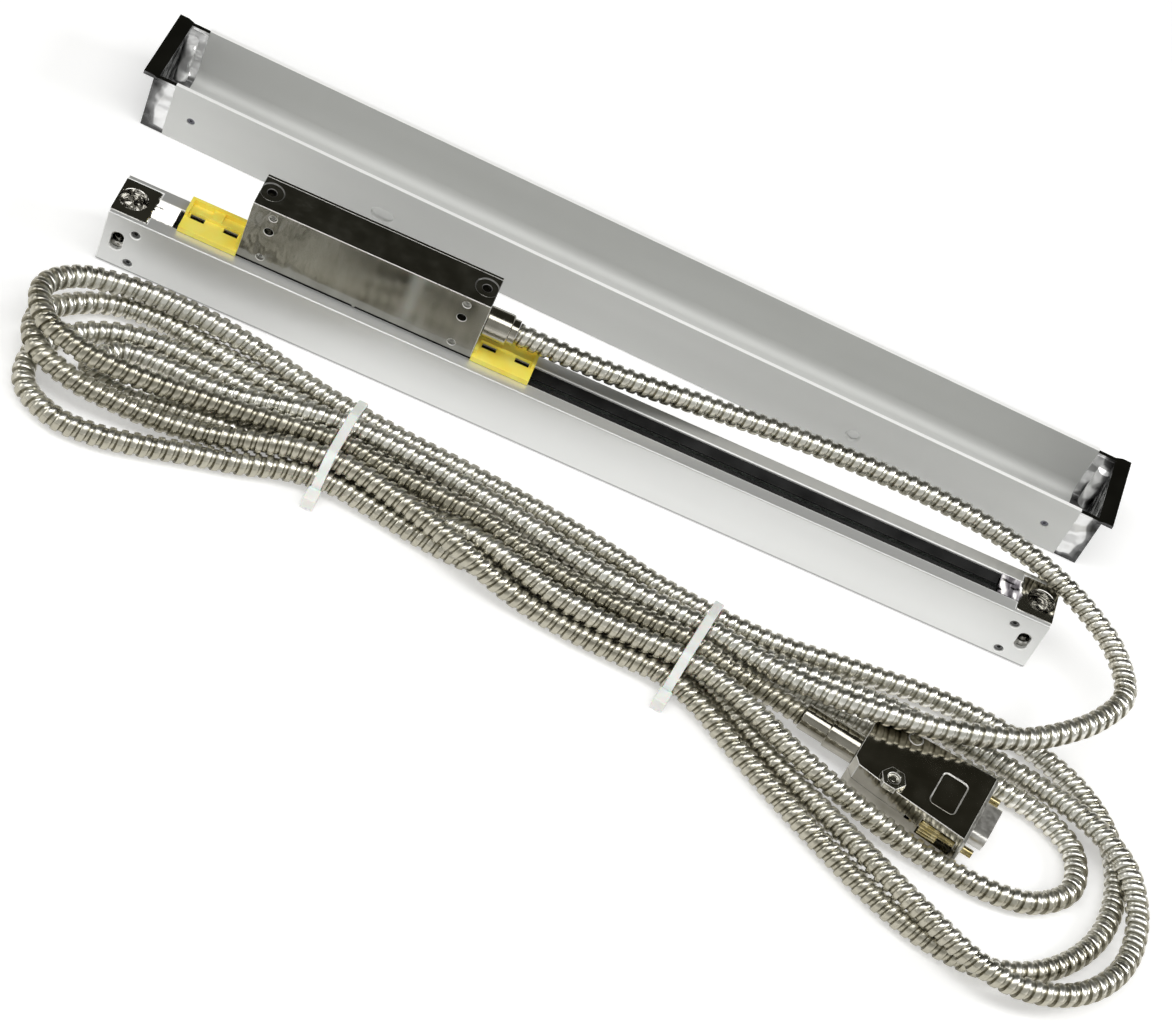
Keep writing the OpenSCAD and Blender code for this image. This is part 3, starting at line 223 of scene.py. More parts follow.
# %% Line of the cable
CABLE_POINTS = [
    (-32.5, 3.4, 36.2), (-16.5, 3.4, 36.2), (-0.5, 4.7, 35.5), (15.3, 6.8, 34.7),
    (31.1, 9.7, 33.9), (46.8, 12.5, 33.1), (62.7, 14.8, 32.6), (78.6, 16.5, 32.2),
    (94.6, 17.6, 31.7), (110.6, 18.1, 31.3), (126.7, 17.8, 30.8), (142.6, 16.4, 30.2),
    (158.2, 13, 29.7), (173.3, 7.5, 28.9), (187.5, 0.3, 27.2), (200.1, -9.1, 24.7),
    (207.4, -22.8, 22), (201, -37.1, 21), (190.2, -48.8, 20.7), (177.5, -58.7, 20.8),
    (162.9, -65.1, 20.8), (147.5, -69.4, 20.1), (131.7, -72.1, 19.8), (115.8, -72.6, 18),
    (100.2, -70.7, 15.2), (84.7, -67.2, 13), (69.1, -63.7, 12.4), (53.1, -61.9, 11.8),
    (37.2, -60.9, 11.8), (21.3, -58.8, 11.9), (5.7, -55.1, 11.9), (-9.8, -51.1, 11.5),
    (-25.5, -47.9, 11), (-41.4, -45.7, 11.2), (-57.4, -44.6, 11.7), (-73.4, -44.9, 12.3),
    (-89.3, -47.1, 11.9), (-104.8, -49, 8.8), (-120.4, -48.3, 5.3), (-136.3, -46.6, 4),
    (-152.1, -48.6, 4), (-158.4, -61, 4), (-144.2, -65.8, 4), (-128.4, -63.1, 4),
    (-112.5, -60.6, 4), (-96.6, -59, 4), (-80.7, -57.5, 4.9), (-64.7, -57.3, 5), (-48.8, -59.2, 4),
    (-33.3, -62.4, 6.1), (-18.4, -66.4, 10.4), (-3.1, -71, 11.8), (12.3, -75, 11),
    (28.2, -77.3, 10.8), (44.2, -78, 11.2), (60.1, -79.1, 12.2), (75.8, -82.4, 12.1),
    (90.5, -88.7, 11.8), (104.8, -95.9, 11.3), (119.8, -101.5, 10.3), (135.2, -104.9, 7.6),
    (150.8, -107.3, 4.7), (166.6, -109.7, 4), (182.6, -111.1, 4), (198.2, -108.1, 4),
    (209.3, -97.1, 4), (207.2, -81.9, 4), (194.3, -72.8, 4), (178.7, -69.1, 4), (162.8, -67.6, 4),
    (146.8, -66.9, 4), (130.7, -66.6, 4), (114.7, -66.6, 4), (98.7, -66.7, 4), (82.6, -66.9, 4.2),
    (66.7, -66.8, 5.3), (50.8, -64.8, 4.5), (35.2, -61.4, 4), (19.5, -58.1, 4), (3.7, -55.4, 4),
    (-12.2, -53.3, 4), (-28.1, -51.5, 4), (-44.1, -50.3, 4), (-60.1, -49.6, 4.7),
    (-76.1, -48.3, 5.2), (-91.7, -45.2, 4), (-107.4, -41.9, 4), (-123.2, -39.3, 4),
    (-139.2, -38.4, 4), (-154.9, -41.1, 4), (-168.5, -49.5, 4), (-177.3, -62.6, 4),
    (-175, -77.9, 4), (-161.7, -86, 4), (-145.7, -86, 4), (-130.2, -82, 4), (-115, -77.1, 4),
    (-99.6, -72.4, 4), (-84.5, -67.1, 4.7), (-68.8, -65.1, 5.2), (-52.9, -66.6, 4.2),
    (-37.1, -69.4, 4), (-21.2, -71, 4), (-5.2, -70.2, 4), (10.8, -71.2, 4), (26.8, -73, 4),
    (42.8, -73.8, 4.2), (58.7, -75.1, 5.3), (73.9, -80, 4.6), (87.5, -88.3, 4),
    (100.8, -97.3, 4.1), (114.4, -105.7, 5), (127.8, -114.2, 7), (140.8, -123.3, 9.4),
    (154.1, -132.1, 11.2), (168, -140, 12), (182.9, -145.8, 11.1), (198.7, -147, 9.8),
    (213.7, -142, 8.8), (225.5, -131.3, 7.5), (232.3, -116.9, 7), (232.1, -101.2, 9),
    (225.3, -87.1, 11.8), (214.1, -75.8, 11), (200.8, -67.3, 8.2), (186.3, -61.3, 5.1),
    (170.7, -57.9, 4), (154.8, -56.4, 4), (138.8, -55.8, 4), (122.7, -55.9, 4), (106.7, -56.7, 4),
    (90.8, -58, 4.1), (74.8, -59, 4.9), (58.8, -58.1, 5.1), (43.1, -55.2, 4.1), (27.4, -51.7, 4),
    (11.7, -48.7, 4), (-4.1, -46.3, 4), (-20.1, -44.4, 4), (-36, -42.8, 4), (-52, -41.9, 4.1),
    (-68, -41, 5.2), (-83.8, -38.8, 4.8), (-99.5, -35.5, 4), (-115.2, -32.6, 4), (-131, -29.8, 4),
    (-146.9, -27.9, 4), (-162.6, -30.3, 4), (-175.3, -39.7, 5.5), (-181.6, -53.7, 9.5),
    (-176.2, -67.8, 11.7), (-161.4, -72.9, 9.9), (-145.5, -72.8, 8), (-129.7, -71, 6.1),
    (-113.9, -68.4, 6.2), (-98.4, -65.4, 9), (-82.9, -62.5, 11.8), (-67, -61.5, 12.2),
    (-51.2, -64.1, 11.6), (-35.8, -68.7, 12), (-20.8, -74, 11.4), (-5.6, -77.4, 7.5),
    (9.9, -79.2, 4.4), (25.9, -80.9, 4), (41.9, -81.7, 4.2), (57.8, -83.3, 5.3), (72.6, -89, 4.6),
    (86.2, -97.6, 4), (99.6, -106.3, 4), (113.3, -114.6, 4), (127.2, -122.6, 4),
    (141.3, -130.2, 4), (156, -136.6, 4), (171.5, -140.7, 4), (187.4, -141, 4), (202.3, -135.4, 4),
    (214.2, -124.7, 4), (222, -110.8, 4), (224.5, -95, 4), (222, -79.3, 4), (214.7, -65.1, 4),
    (202.7, -54.6, 4), (188, -48.2, 4), (172.4, -44.8, 4), (156.4, -43.5, 4), (140.4, -44, 4),
    (124.5, -45.8, 4), (108.6, -47.9, 4), (92.7, -49.9, 4), (76.8, -51.1, 4.9), (60.8, -50.3, 5.1),
    (45, -47.4, 4.1), (29.4, -43.9, 4), (13.7, -40.9, 4), (-2.2, -38.5, 4), (-18.1, -36.5, 4),
    (-34, -35, 4), (-50, -34.1, 4.2), (-66, -33.2, 5.2), (-81.9, -31.1, 5.3), (-97.6, -28, 5.9),
    (-113.3, -26, 8.2), (-129.2, -25.5, 10.5), (-145.2, -25.5, 11.5), (-161, -27.5, 12.1),
    (-175.3, -34.1, 14.4), (-183.4, -47.1, 17.4), (-177.3, -61.1, 18.8), (-162.5, -66.5, 17.8),
    (-146.7, -66.1, 16), (-131.2, -62.8, 13.5), (-115.7, -59.2, 11.8), (-99.8, -56.7, 11.4),
    (-84, -54.3, 11.7), (-68, -53.4, 12.2), (-52.2, -55.6, 11.6), (-36.2, -57.1, 11.7),
    (-20.3, -58, 11.8), (-4.8, -62, 10.6), (10.7, -65.8, 10.1), (26.6, -68.3, 10.5),
    (42.5, -69.7, 11.2), (58.5, -70.8, 12.1), (74.2, -72.9, 9.9), (90, -73.9, 7.6),
    (105.5, -77.5, 8),
]
CABLE_RADIUS = 4.0


def smooth_line(points, parts):
    """A Catmull-Rom line through the points, with this many parts between two of them."""
    points = [Vector(p) for p in points]
    last = len(points) - 1
    line = []
    for i in range(last):
        a, b = points[max(i - 1, 0)], points[i]
        c, d = points[i + 1], points[min(i + 2, last)]
        for k in range(parts):
            t = k / parts
            line.append(0.5 * (2 * b + (c - a) * t + (2 * a - 5 * b + 4 * c - d) * t * t
                               + (3 * b - a - 3 * c + d) * t ** 3))
    return line + [points[last]]


class Run:
    """A line that can be asked for its point and its frame at any distance from its start."""

    def __init__(self, line):
        self.line = line
        self.at = [0.0]
        for a, b in zip(line, line[1:]):
            self.at.append(self.at[-1] + (b - a).length)
        self.length = self.at[-1]
        side = (line[1] - line[0]).cross(Vector((0, 0, 1))).normalized()
        self.sides = []
        for i in range(len(line)):
            along = self.direction(i)
            side = (side - side.dot(along) * along).normalized()
            self.sides.append(side.copy())

    def direction(self, i):
        """Where the line heads at its point i."""
        return (self.line[min(i + 1, len(self.line) - 1)] - self.line[max(i - 1, 0)]).normalized()

    def place(self, distance, i):
        """Point, side and up at a distance, looked for from piece i on, and the piece found."""
        while i < len(self.line) - 2 and self.at[i + 1] < distance:
            i += 1
        while i > 0 and self.at[i] > distance:
            i -= 1
        t = (distance - self.at[i]) / (self.at[i + 1] - self.at[i])
        side = self.sides[i].lerp(self.sides[i + 1], t).normalized()
        along = self.direction(i).lerp(self.direction(i + 1), t).normalized()
        return self.line[i].lerp(self.line[i + 1], t), side, side.cross(along), i


PARTS_BETWEEN_POINTS = 8
cable_run = Run(smooth_line(CABLE_POINTS, PARTS_BETWEEN_POINTS))
print("cable length, mm:", round(cable_run.length))

# %% [markdown]
# ## The wound strip
# The tube is drawn as the strip is wound: one set of steps (a low flat, a rise, a crown, a fall)
# climbs round the line in a helix, so that the ribs lean as real ones do. Each turn joins the next.

# %% Steps of the wound strip
PITCH_OF_STRIP = 4.1
STEPS = [(0.0, 3.25), (1.5, 3.25), (1.75, 3.94), (2.8, 4.05), (3.85, 3.94)]    # place in a turn, radius
CRISP = (0, 1, 2, 4)                          # the rings where the strip is folded sharply
CABLE_SIDES = 20
SAME_PLACE, NO_LENGTH = 1e-6, 1e-7           # in metres


def wound_tube(name, run, steps, crisp, sides, pitch):
    """A closed tube whose steps run round it in a helix, with u counting turns and v round it."""
    per_turn = len(steps)
    rings = (int(run.length / pitch) + 2) * per_turn
    bm = bmesh.new()
    uv = bm.loops.layers.uv.new("UVMap")
    grid, found = [], 0
    for i in range(rings):
        row = []
        place, radius = steps[i % per_turn]
        for k in range(sides):
            wanted = (i // per_turn - 1 + k / sides) * pitch + place
            distance = min(max(wanted, 0.0), run.length)
            centre, side, rise, found = run.place(distance, found)
            reach = radius if distance == wanted else steps[0][1]
            turn = 2 * math.pi * k / sides
            spoke = math.cos(turn) * side + math.sin(turn) * rise
            row.append(bm.verts.new((centre + reach * spoke) * MM))
        grid.append(row)
    counts = [i // per_turn + steps[i % per_turn][0] / pitch for i in range(rings)]
    for i in range(rings - 1):
        for k in range(sides):
            here = i + per_turn if k == sides - 1 else i
            if here + 1 >= rings:
                continue
            following = (k + 1) % sides
            near_side = [grid[i][k], grid[here][following]]
            far_side = [grid[here + 1][following], grid[i + 1][k]]
            face = bm.faces.new(near_side + far_side)
            for loop, (a, b) in zip(face.loops, ((i, k), (i, k + 1), (i + 1, k + 1), (i + 1, k))):
                loop[uv].uv = (counts[a], b / sides)
            if i % per_turn in crisp:
                bm.edges.get(near_side).smooth = False
    bmesh.ops.remove_doubles(bm, verts=bm.verts, dist=SAME_PLACE)
    bmesh.ops.dissolve_degenerate(bm, edges=bm.edges, dist=NO_LENGTH)
    bmesh.ops.holes_fill(bm, edges=[e for e in bm.edges if e.is_boundary])
    bmesh.ops.recalc_face_normals(bm, faces=bm.faces)
    return linked(name, mesh_from(bm, name))


cable = wound_tube("armoured_cable", cable_run, STEPS, CRISP, CABLE_SIDES, PITCH_OF_STRIP)
print("cable faces:", len(cable.data.polygons))

# %% [markdown]
# ## Nodes that the finishes share
# A finish is a Principled shader, and small nodes before it say what varies and where. All of them
# read the piece's own coordinates, so a finish stays on its piece when the piece moves.

# %% Nodes that the finishes share
def placed(tree, stretch=(1, 1, 1)):
    """The place on the piece, stretched, for a noise."""
    place = tree.nodes.new("ShaderNodeTexCoord")
    mapping = tree.nodes.new("ShaderNodeMapping")
    mapping.inputs["Scale"].default_value = stretch
    tree.links.new(place.outputs["Object"], mapping.inputs["Vector"])
    return mapping.outputs[0]


def place_on(tree, axis):
    """The place on the piece along one axis, in metres."""
    split = tree.nodes.new("ShaderNodeSeparateXYZ")
    tree.links.new(placed(tree), split.inputs[0])
    return split.outputs[axis]


def worked(tree, operation, *values):
    """The result of an operation on values, each a number or what another node gives."""
    step = tree.nodes.new("ShaderNodeMath")
    step.operation = operation
    for socket, value in zip(step.inputs, values):
        if isinstance(value, float):
            socket.default_value = value
        else:
            tree.links.new(value, socket)
    return step.outputs[0]


def between(tree, value, start, end, low=0.0, high=1.0):
    """Goes from low to high while the value goes from start to end."""
    span = tree.nodes.new("ShaderNodeMapRange")
    span.inputs["From Min"].default_value, span.inputs["From Max"].default_value = start, end
    span.inputs["To Min"].default_value, span.inputs["To Max"].default_value = low, high
    tree.links.new(value, span.inputs["Value"])
    return span.outputs[0]


def fade(tree, axis, start, end, least=0.0):
    """Goes from its least value to 1 between two places on an axis."""
    return between(tree, place_on(tree, axis), start, end, least)


def noise_of(tree, vector, size, detail=2.0):
    """A noise of this many waves to the metre."""
    noise = tree.nodes.new("ShaderNodeTexNoise")
    noise.inputs["Scale"].default_value = size
    noise.inputs["Detail"].default_value = detail
    tree.links.new(vector, noise.inputs["Vector"])
    return noise.outputs["Fac"]


def relief_of(tree, height, strength, distance, onto=None):
    """A bump of this height, on top of another one."""
    relief = tree.nodes.new("ShaderNodeBump")
    relief.inputs["Strength"].default_value = strength
    relief.inputs["Distance"].default_value = distance
    tree.links.new(height, relief.inputs["Height"])
    if onto:
        tree.links.new(onto, relief.inputs["Normal"])
    return relief.outputs[0]


print("helpers:", *(f.__name__ for f in (placed, place_on, worked, between, fade, noise_of, relief_of)))

# %% [markdown]
# ## One finish
# No real surface has one colour or one polish. Each finish wanders between two colours and two
# roughnesses. A fine bump gives the grain, and broad lumps give the waves that polishing by hand
# leaves on a casting, up to the height from which the metal is ground flat.

# %% One finish
TINT_NOISE, POLISH_NOISE = (0.35, 0.65), (0.3, 0.7)    # the part of the noise that is used
GRINDING_EDGE = 0.0003                                 # how far the lumps take to fade out


def finish(name, colours, metallic, roughness, grain, stretch=(1, 1, 1), bump=None, lumps=None, **sockets):
    """A material whose colour and roughness wander between two values each.

    bump is (strength, waves to the metre, height) of a fine grain, and lumps the same for the waves of
    a hand-polished casting, followed by the height above the floor from which the metal is ground flat.
    """
    material = bpy.data.materials.new(name)
    tree, output = shader_tree(material)
    shader = tree.nodes.new("ShaderNodeBsdfPrincipled")
    tree.links.new(shader.outputs[0], output.inputs["Surface"])
    shader.inputs["Metallic"].default_value = metallic
    for socket, value in sockets.items():
        shader.inputs[socket.replace("_", " ")].default_value = value
    place = placed(tree, stretch)
    wander = noise_of(tree, place, grain)
    tint = ramp_of(tree, wander, *TINT_NOISE, list(zip((0.0, 1.0), colours)))
    tree.links.new(tint.outputs[0], shader.inputs["Base Color"])
    tree.links.new(between(tree, wander, *POLISH_NOISE, *roughness), shader.inputs["Roughness"])
    surface = None
    if lumps:
        strength, waves, height, flat_from = lumps
        rough_part = fade(tree, "Z", flat_from, flat_from - GRINDING_EDGE)
        wave = worked(tree, "MULTIPLY", noise_of(tree, placed(tree), waves, 1.0), rough_part)
        surface = relief_of(tree, wave, strength, height)
    if bump:
        strength, waves, height = bump
        surface = relief_of(tree, noise_of(tree, place, waves, 3.0), strength, height, surface)
    if surface:
        tree.links.new(surface, shader.inputs["Normal"])
    return material


def shader_of(material):
    """The Principled shader of a finish."""
    return next(node for node in material.node_tree.nodes if node.type == "BSDF_PRINCIPLED")


def dim(material, by):
    """Darkens a finish by a value from 0 to 1, or by a colour."""
    tree, shader = material.node_tree, shader_of(material)
    tint = shader.inputs["Base Color"].links[0].from_socket
    shade = tree.nodes.new("ShaderNodeMix")
    shade.data_type, shade.blend_type = "RGBA", "MULTIPLY"
    shade.inputs["Factor"].default_value = 1
    tree.links.new(tint, shade.inputs["A"])
    tree.links.new(by, shade.inputs["B"])
    tree.links.new(shade.outputs["Result"], shader.inputs["Base Color"])


print("a finish uses", TINT_NOISE, "of its noise for the tint and", POLISH_NOISE, "for the polish")

# %% [markdown]
# ## Aluminium
# The housing and the dust cover are drawn aluminium, anodised matt, with a grain along their
# length. Sawn and machined edges, and the cover's rim, are given a white finish as a painted
# highlight. Where the housing stands on the table its foot lies in its own shade, so both finishes
# are darker in a thin line there.

# %% Aluminium
DRAWN_GRAIN = (0.10, 2600, 0.00005)
ALONG_THE_BAR = (0.12, 1, 1)
FOOT_LINE = (0.0007, 0.0010)                # heights between which the shade at the foot ends
anodised = finish("anodised aluminium", ((0.73, 0.735, 0.725), (0.79, 0.795, 0.785)), 0.6, (0.30, 0.38), 40,
                  stretch=ALONG_THE_BAR, bump=DRAWN_GRAIN)
cover_metal = finish("anodised cover", ((0.64, 0.645, 0.63), (0.70, 0.705, 0.69)), 0.3, (0.58, 0.66), 40,
                     stretch=ALONG_THE_BAR, bump=DRAWN_GRAIN)
# painted highlight: a white, unshining finish for the rounded edges and the cover's rim
cut_edge_white_highlight = finish("cut edge, painted highlight", ((0.94, 0.94, 0.93), (0.99, 0.99, 0.98)), 0.0, (0.35, 0.45), 60,
                  stretch=(0.2, 1, 1))
dim(anodised, fade(anodised.node_tree, "Z", *FOOT_LINE, least=0.5))
dim(cut_edge_white_highlight, fade(cut_edge_white_highlight.node_tree, "Z", *FOOT_LINE, least=0.4))
print("made", anodised.name, "|", cover_metal.name, "|", cut_edge_white_highlight.name)

# %% [markdown]
# ## Chrome of the head
# The head has a dark chrome coat. The top edges of its front carry a painted highlight in a bright
# finish: lower edges get painted shade and stay dark, and those behind the front are duller. Towards
# its left end the front is slightly dented, which breaks up what it mirrors.

# %% Chrome of the head
EDGE_HIGHLIGHT_TONES = ((0.70, 0.69, 0.66), (0.85, 0.84, 0.81))
HIGHLIGHT_FROM_HEIGHTS = (0.0252, 0.0256)                # heights between which an edge turns bright
BEHIND_THE_FRONT = (-0.0045, -0.0042)       # places in Y between which it turns dull again
DENTS_GROW = (-0.088, -0.122)               # places in X between which the dents come in
# painted highlight: bright finishes for rounded edges; the head's copy gets painted shade below a height
# and is duller behind the front
bright_edge_highlight = finish("painted edge highlight", EDGE_HIGHLIGHT_TONES, 0.7, (0.25, 0.4), 300)
head_edge_highlight_and_shade = finish("chrome edge, painted highlight and shade", EDGE_HIGHLIGHT_TONES, 0.7, (0.25, 0.4), 300)
tree = head_edge_highlight_and_shade.node_tree
dim(head_edge_highlight_and_shade, fade(tree, "Z", *HIGHLIGHT_FROM_HEIGHTS))
dim(head_edge_highlight_and_shade, between(tree, place_on(tree, "Y"), *BEHIND_THE_FRONT, 1.0, 0.25))
head_chrome = finish("black chrome", ((0.36, 0.355, 0.325), (0.46, 0.455, 0.42)), 1.0, (0.13, 0.24), 160,
                     stretch=(1, 1, 0.2))
tree = head_chrome.node_tree
dents = noise_of(tree, placed(tree, (1, 1, 0.3)), 260, 2.0)
dented = worked(tree, "MULTIPLY", dents, fade(tree, "X", *DENTS_GROW))
tree.links.new(relief_of(tree, dented, 0.6, 0.0016), shader_of(head_chrome).inputs["Normal"])
print("made", bright_edge_highlight.name, "|", head_edge_highlight_and_shade.name, "|", head_chrome.name)

# %% [markdown]
# ## Chrome of the end blocks
# The end blocks are castings, polished by hand and chromed, with their tops ground flat. The tongue
# of each, towards the middle of the scale, is a rough hollow that tilts what it mirrors, and the
# right one has dark and white stripes painted into its colour as a painted reflection.

# %% Chrome of the end blocks
TONGUE_EDGE = (0.1645, 0.1641)              # distances from the middle where a tongue starts
RAGGED_BY, GRAIN_HEIGHT, TILT = 0.003, 0.0007, 0.46
RIGHT_HALF = (-0.01, 0.01)
block_chrome = finish("block chrome", ((0.46, 0.45, 0.42), (0.58, 0.57, 0.54)), 1.0, (0.07, 0.14), 90,
                      lumps=(0.7, 240, 0.003, 0.0238))
tree = block_chrome.node_tree
from_middle = worked(tree, "ABSOLUTE", place_on(tree, "X"))
ragged = worked(tree, "MULTIPLY_ADD", noise_of(tree, placed(tree), 300, 1.0), RAGGED_BY, from_middle)
tongue = between(tree, ragged, *TONGUE_EDGE)
slope = worked(tree, "MULTIPLY", place_on(tree, "Y"), TILT)
cast_grain = worked(tree, "MULTIPLY_ADD", noise_of(tree, placed(tree), 260, 1.0), GRAIN_HEIGHT, slope)
tilted = worked(tree, "MULTIPLY", cast_grain, tongue)
normal = shader_of(block_chrome).inputs["Normal"]
tree.links.new(relief_of(tree, tilted, 1.0, 1.0, normal.links[0].from_socket), normal)
# painted reflection: dark and white stripes in the colour of the right tongue
painted_reflection_ramp = ramp_of(tree, noise_of(tree, placed(tree, (1, 0.3, 1)), 330, 2.0), 0.42, 0.62,
                  [(0.0, (0.07, 0.065, 0.075)), (0.5, (0.30, 0.29, 0.32)), (1.0, (1, 1, 1))])
right_tongue = worked(tree, "MULTIPLY", tongue, fade(tree, "X", *RIGHT_HALF))
tongue_painted_reflection = tree.nodes.new("ShaderNodeMix")
tongue_painted_reflection.data_type = "RGBA"
tongue_painted_reflection.inputs["A"].default_value = (1, 1, 1, 1)
tree.links.new(right_tongue, tongue_painted_reflection.inputs["Factor"])
tree.links.new(painted_reflection_ramp.outputs[0], tongue_painted_reflection.inputs["B"])
dim(block_chrome, tongue_painted_reflection.outputs["Result"])
print("made", block_chrome.name, "with", len(tree.nodes), "nodes")

# %% [markdown]
# ## Chrome of the cover's caps
# The caps are open boxes of bright chrome that mirror themselves. Their outer walls and their
# floors get a painted dark reflection of the dim room, with an uneven edge.

# %% Chrome of the cover's caps
OUTER_WALL = (0.1785, 0.1850)               # distances from the middle between which it darkens
CAP_FLOOR = (0.0045, 0.0005)                # heights between which it darkens
UNEVEN_BY = 1.5
cap_chrome = finish("cap chrome", ((0.94, 0.94, 0.94), (1.0, 1.0, 1.0)), 0.35, (0.07, 0.14), 90,
                    lumps=(1.0, 95, 0.010, 0.0232))
tree = cap_chrome.node_tree
# painted reflection: the colour darkens on the outer walls and the floors, with a ragged edge
outer_wall = between(tree, worked(tree, "ABSOLUTE", place_on(tree, "X")), *OUTER_WALL)
dark_reflection_mask = worked(tree, "MAXIMUM", outer_wall, fade(tree, "Z", *CAP_FLOOR))
uneven = noise_of(tree, placed(tree, (1, 1, 0.6)), 130, 2.0)
painted_dark_reflection = ramp_of(tree, worked(tree, "MULTIPLY_ADD", uneven, UNEVEN_BY, dark_reflection_mask), 0.85, 1.65, [
    (0.0, (1, 1, 1)), (0.45, (0.9, 0.9, 0.9)), (0.62, (0.22, 0.22, 0.22)), (1.0, (0.05, 0.05, 0.05))])
dim(cap_chrome, painted_dark_reflection.outputs[0])
# painted reflection: a dark copy of the caps' chrome for the faces of their lips that look up
lip_dark_reflection = finish("lip chrome, painted dark", ((0.16, 0.16, 0.16), (0.22, 0.22, 0.22)), 1.0, (0.07, 0.14), 90)
print("made", cap_chrome.name, "|", lip_dark_reflection.name)

# %% [markdown]
# ## Other metals
# The hood and the gland are nickel plated and the connector's shell is tinned. The screws are
# polished, ground or blackened, and the thumbscrews are nickelled brass, worn at the knurls.

# %% Other metals
nickel = finish("nickel plating", ((0.34, 0.325, 0.275), (0.46, 0.44, 0.385)), 1.0, (0.08, 0.18), 120,
                bump=(0.06, 120, 0.0006))
tin = finish("tinned steel", ((0.50, 0.49, 0.46), (0.66, 0.65, 0.62)), 0.8, (0.28, 0.42), 500,
             bump=(0.2, 900, 0.0002))
jewel = finish("polished hexagon", ((0.40, 0.39, 0.34), (0.75, 0.74, 0.68)), 1.0, (0.05, 0.12), 500,
               bump=(0.6, 420, 0.0016))
black_steel = finish("blackened steel", ((0.10, 0.10, 0.10), (0.22, 0.22, 0.22)), 1.0, (0.3, 0.5), 400,
                     bump=(0.2, 900, 0.0001))
bright_steel = finish("ground steel", ((0.60, 0.60, 0.58), (0.72, 0.72, 0.70)), 1.0, (0.2, 0.35), 300,
                      stretch=(0.2, 1, 1), bump=(0.15, 1500, 0.00005))
dark_alloy = finish("dark anodised alloy", ((0.16, 0.16, 0.18), (0.22, 0.22, 0.25)), 1.0, (0.4, 0.55), 200)
gilt = finish("gilt contacts", ((0.75, 0.55, 0.2), (0.85, 0.65, 0.28)), 1.0, (0.2, 0.3), 300)
brass = finish("worn nickelled brass", ((0.34, 0.27, 0.10), (0.62, 0.54, 0.32)), 1.0, (0.16, 0.32), 350,
               bump=(0.2, 900, 0.0002))
print("made", nickel.name, "|", tin.name, "|", jewel.name, "|", black_steel.name, "|", bright_steel.name)

# %% [markdown]
# ## Rubber, glass and plastics
# The sealing lips are soft black rubber that hardly shines. The brackets are moulded in a thick
# yellow plastic, which lets a little light in, and the ties in natural nylon.

# %% Rubber, glass and plastics
rubber = finish("black rubber", ((0.012, 0.012, 0.012), (0.025, 0.025, 0.025)), 0.0, (0.16, 0.26), 80,
                bump=(0.1, 200, 0.0002), Specular_IOR_Level=0.06)
dull_rubber = finish("grey rubber", ((0.05, 0.05, 0.05), (0.09, 0.09, 0.09)), 0.0, (0.6, 0.8), 200)
glass = finish("scale glass", ((0.75, 0.86, 0.82), (0.82, 0.9, 0.86)), 0.0, (0.02, 0.06), 50,
               Transmission_Weight=0.85, IOR=1.5)
board_green = finish("green board", ((0.01, 0.10, 0.045), (0.02, 0.16, 0.07)), 0.0, (0.35, 0.5), 300)
clear_epoxy = finish("clear epoxy", ((0.8, 0.8, 0.78), (0.9, 0.9, 0.88)), 0.0, (0.1, 0.2), 200,
                     Transmission_Weight=0.5)
yellow = finish("yellow plastic", ((1.0, 0.78, 0.10), (1.0, 0.86, 0.17)), 0.0, (0.32, 0.44), 120,
                bump=(0.15, 260, 0.0003), Subsurface_Weight=0.3, Subsurface_Scale=0.002)
nylon = finish("natural nylon", ((0.84, 0.84, 0.81), (0.92, 0.92, 0.89)), 0.0, (0.35, 0.5), 150,
               bump=(0.1, 500, 0.0001), Subsurface_Weight=0.4, Subsurface_Scale=0.002)
black_moulding = finish("black moulding", ((0.02, 0.02, 0.025), (0.04, 0.04, 0.05)), 0.0, (0.4, 0.55), 300)
print("made", rubber.name, "|", glass.name, "|", yellow.name, "|", nylon.name, "|", board_green.name)

# %% [markdown]
# ## Finish of the cable
# The strip overlaps itself. The tube's own map counts the turns of the strip and goes round it,
# so one ramp paints shade into the grooves of each turn, one paints shade on the sides and the
# underside, and one rolls the strip into two beads a turn.

# %% Strip metal
strip_metal = finish("nickelled strip", ((0.84, 0.83, 0.77), (0.97, 0.96, 0.90)), 1.0, (0.26, 0.36), 120,
                     bump=(0.05, 700, 0.0002))
tree = strip_metal.node_tree
map_of_tube = tree.nodes.new("ShaderNodeTexCoord")
turns = tree.nodes.new("ShaderNodeSeparateXYZ")
tree.links.new(map_of_tube.outputs["UV"], turns.inputs[0])
part_turn = worked(tree, "FRACT", turns.outputs["X"])
# painted shade: the colour darkens at the walls of each groove
painted_groove_shade = ramp_of(tree, part_turn, 0, 1, [
    (0.0, (0.45, 0.44, 0.40)), (0.06, (0.95, 0.95, 0.93)), (0.32, (0.95, 0.95, 0.93)),
    (0.37, (0.5, 0.49, 0.45)), (0.41, (0.42, 0.41, 0.37)), (0.46, (1, 1, 1)),
    (0.90, (1, 1, 1)), (0.96, (0.5, 0.49, 0.45))])
dim(strip_metal, painted_groove_shade.outputs[0])
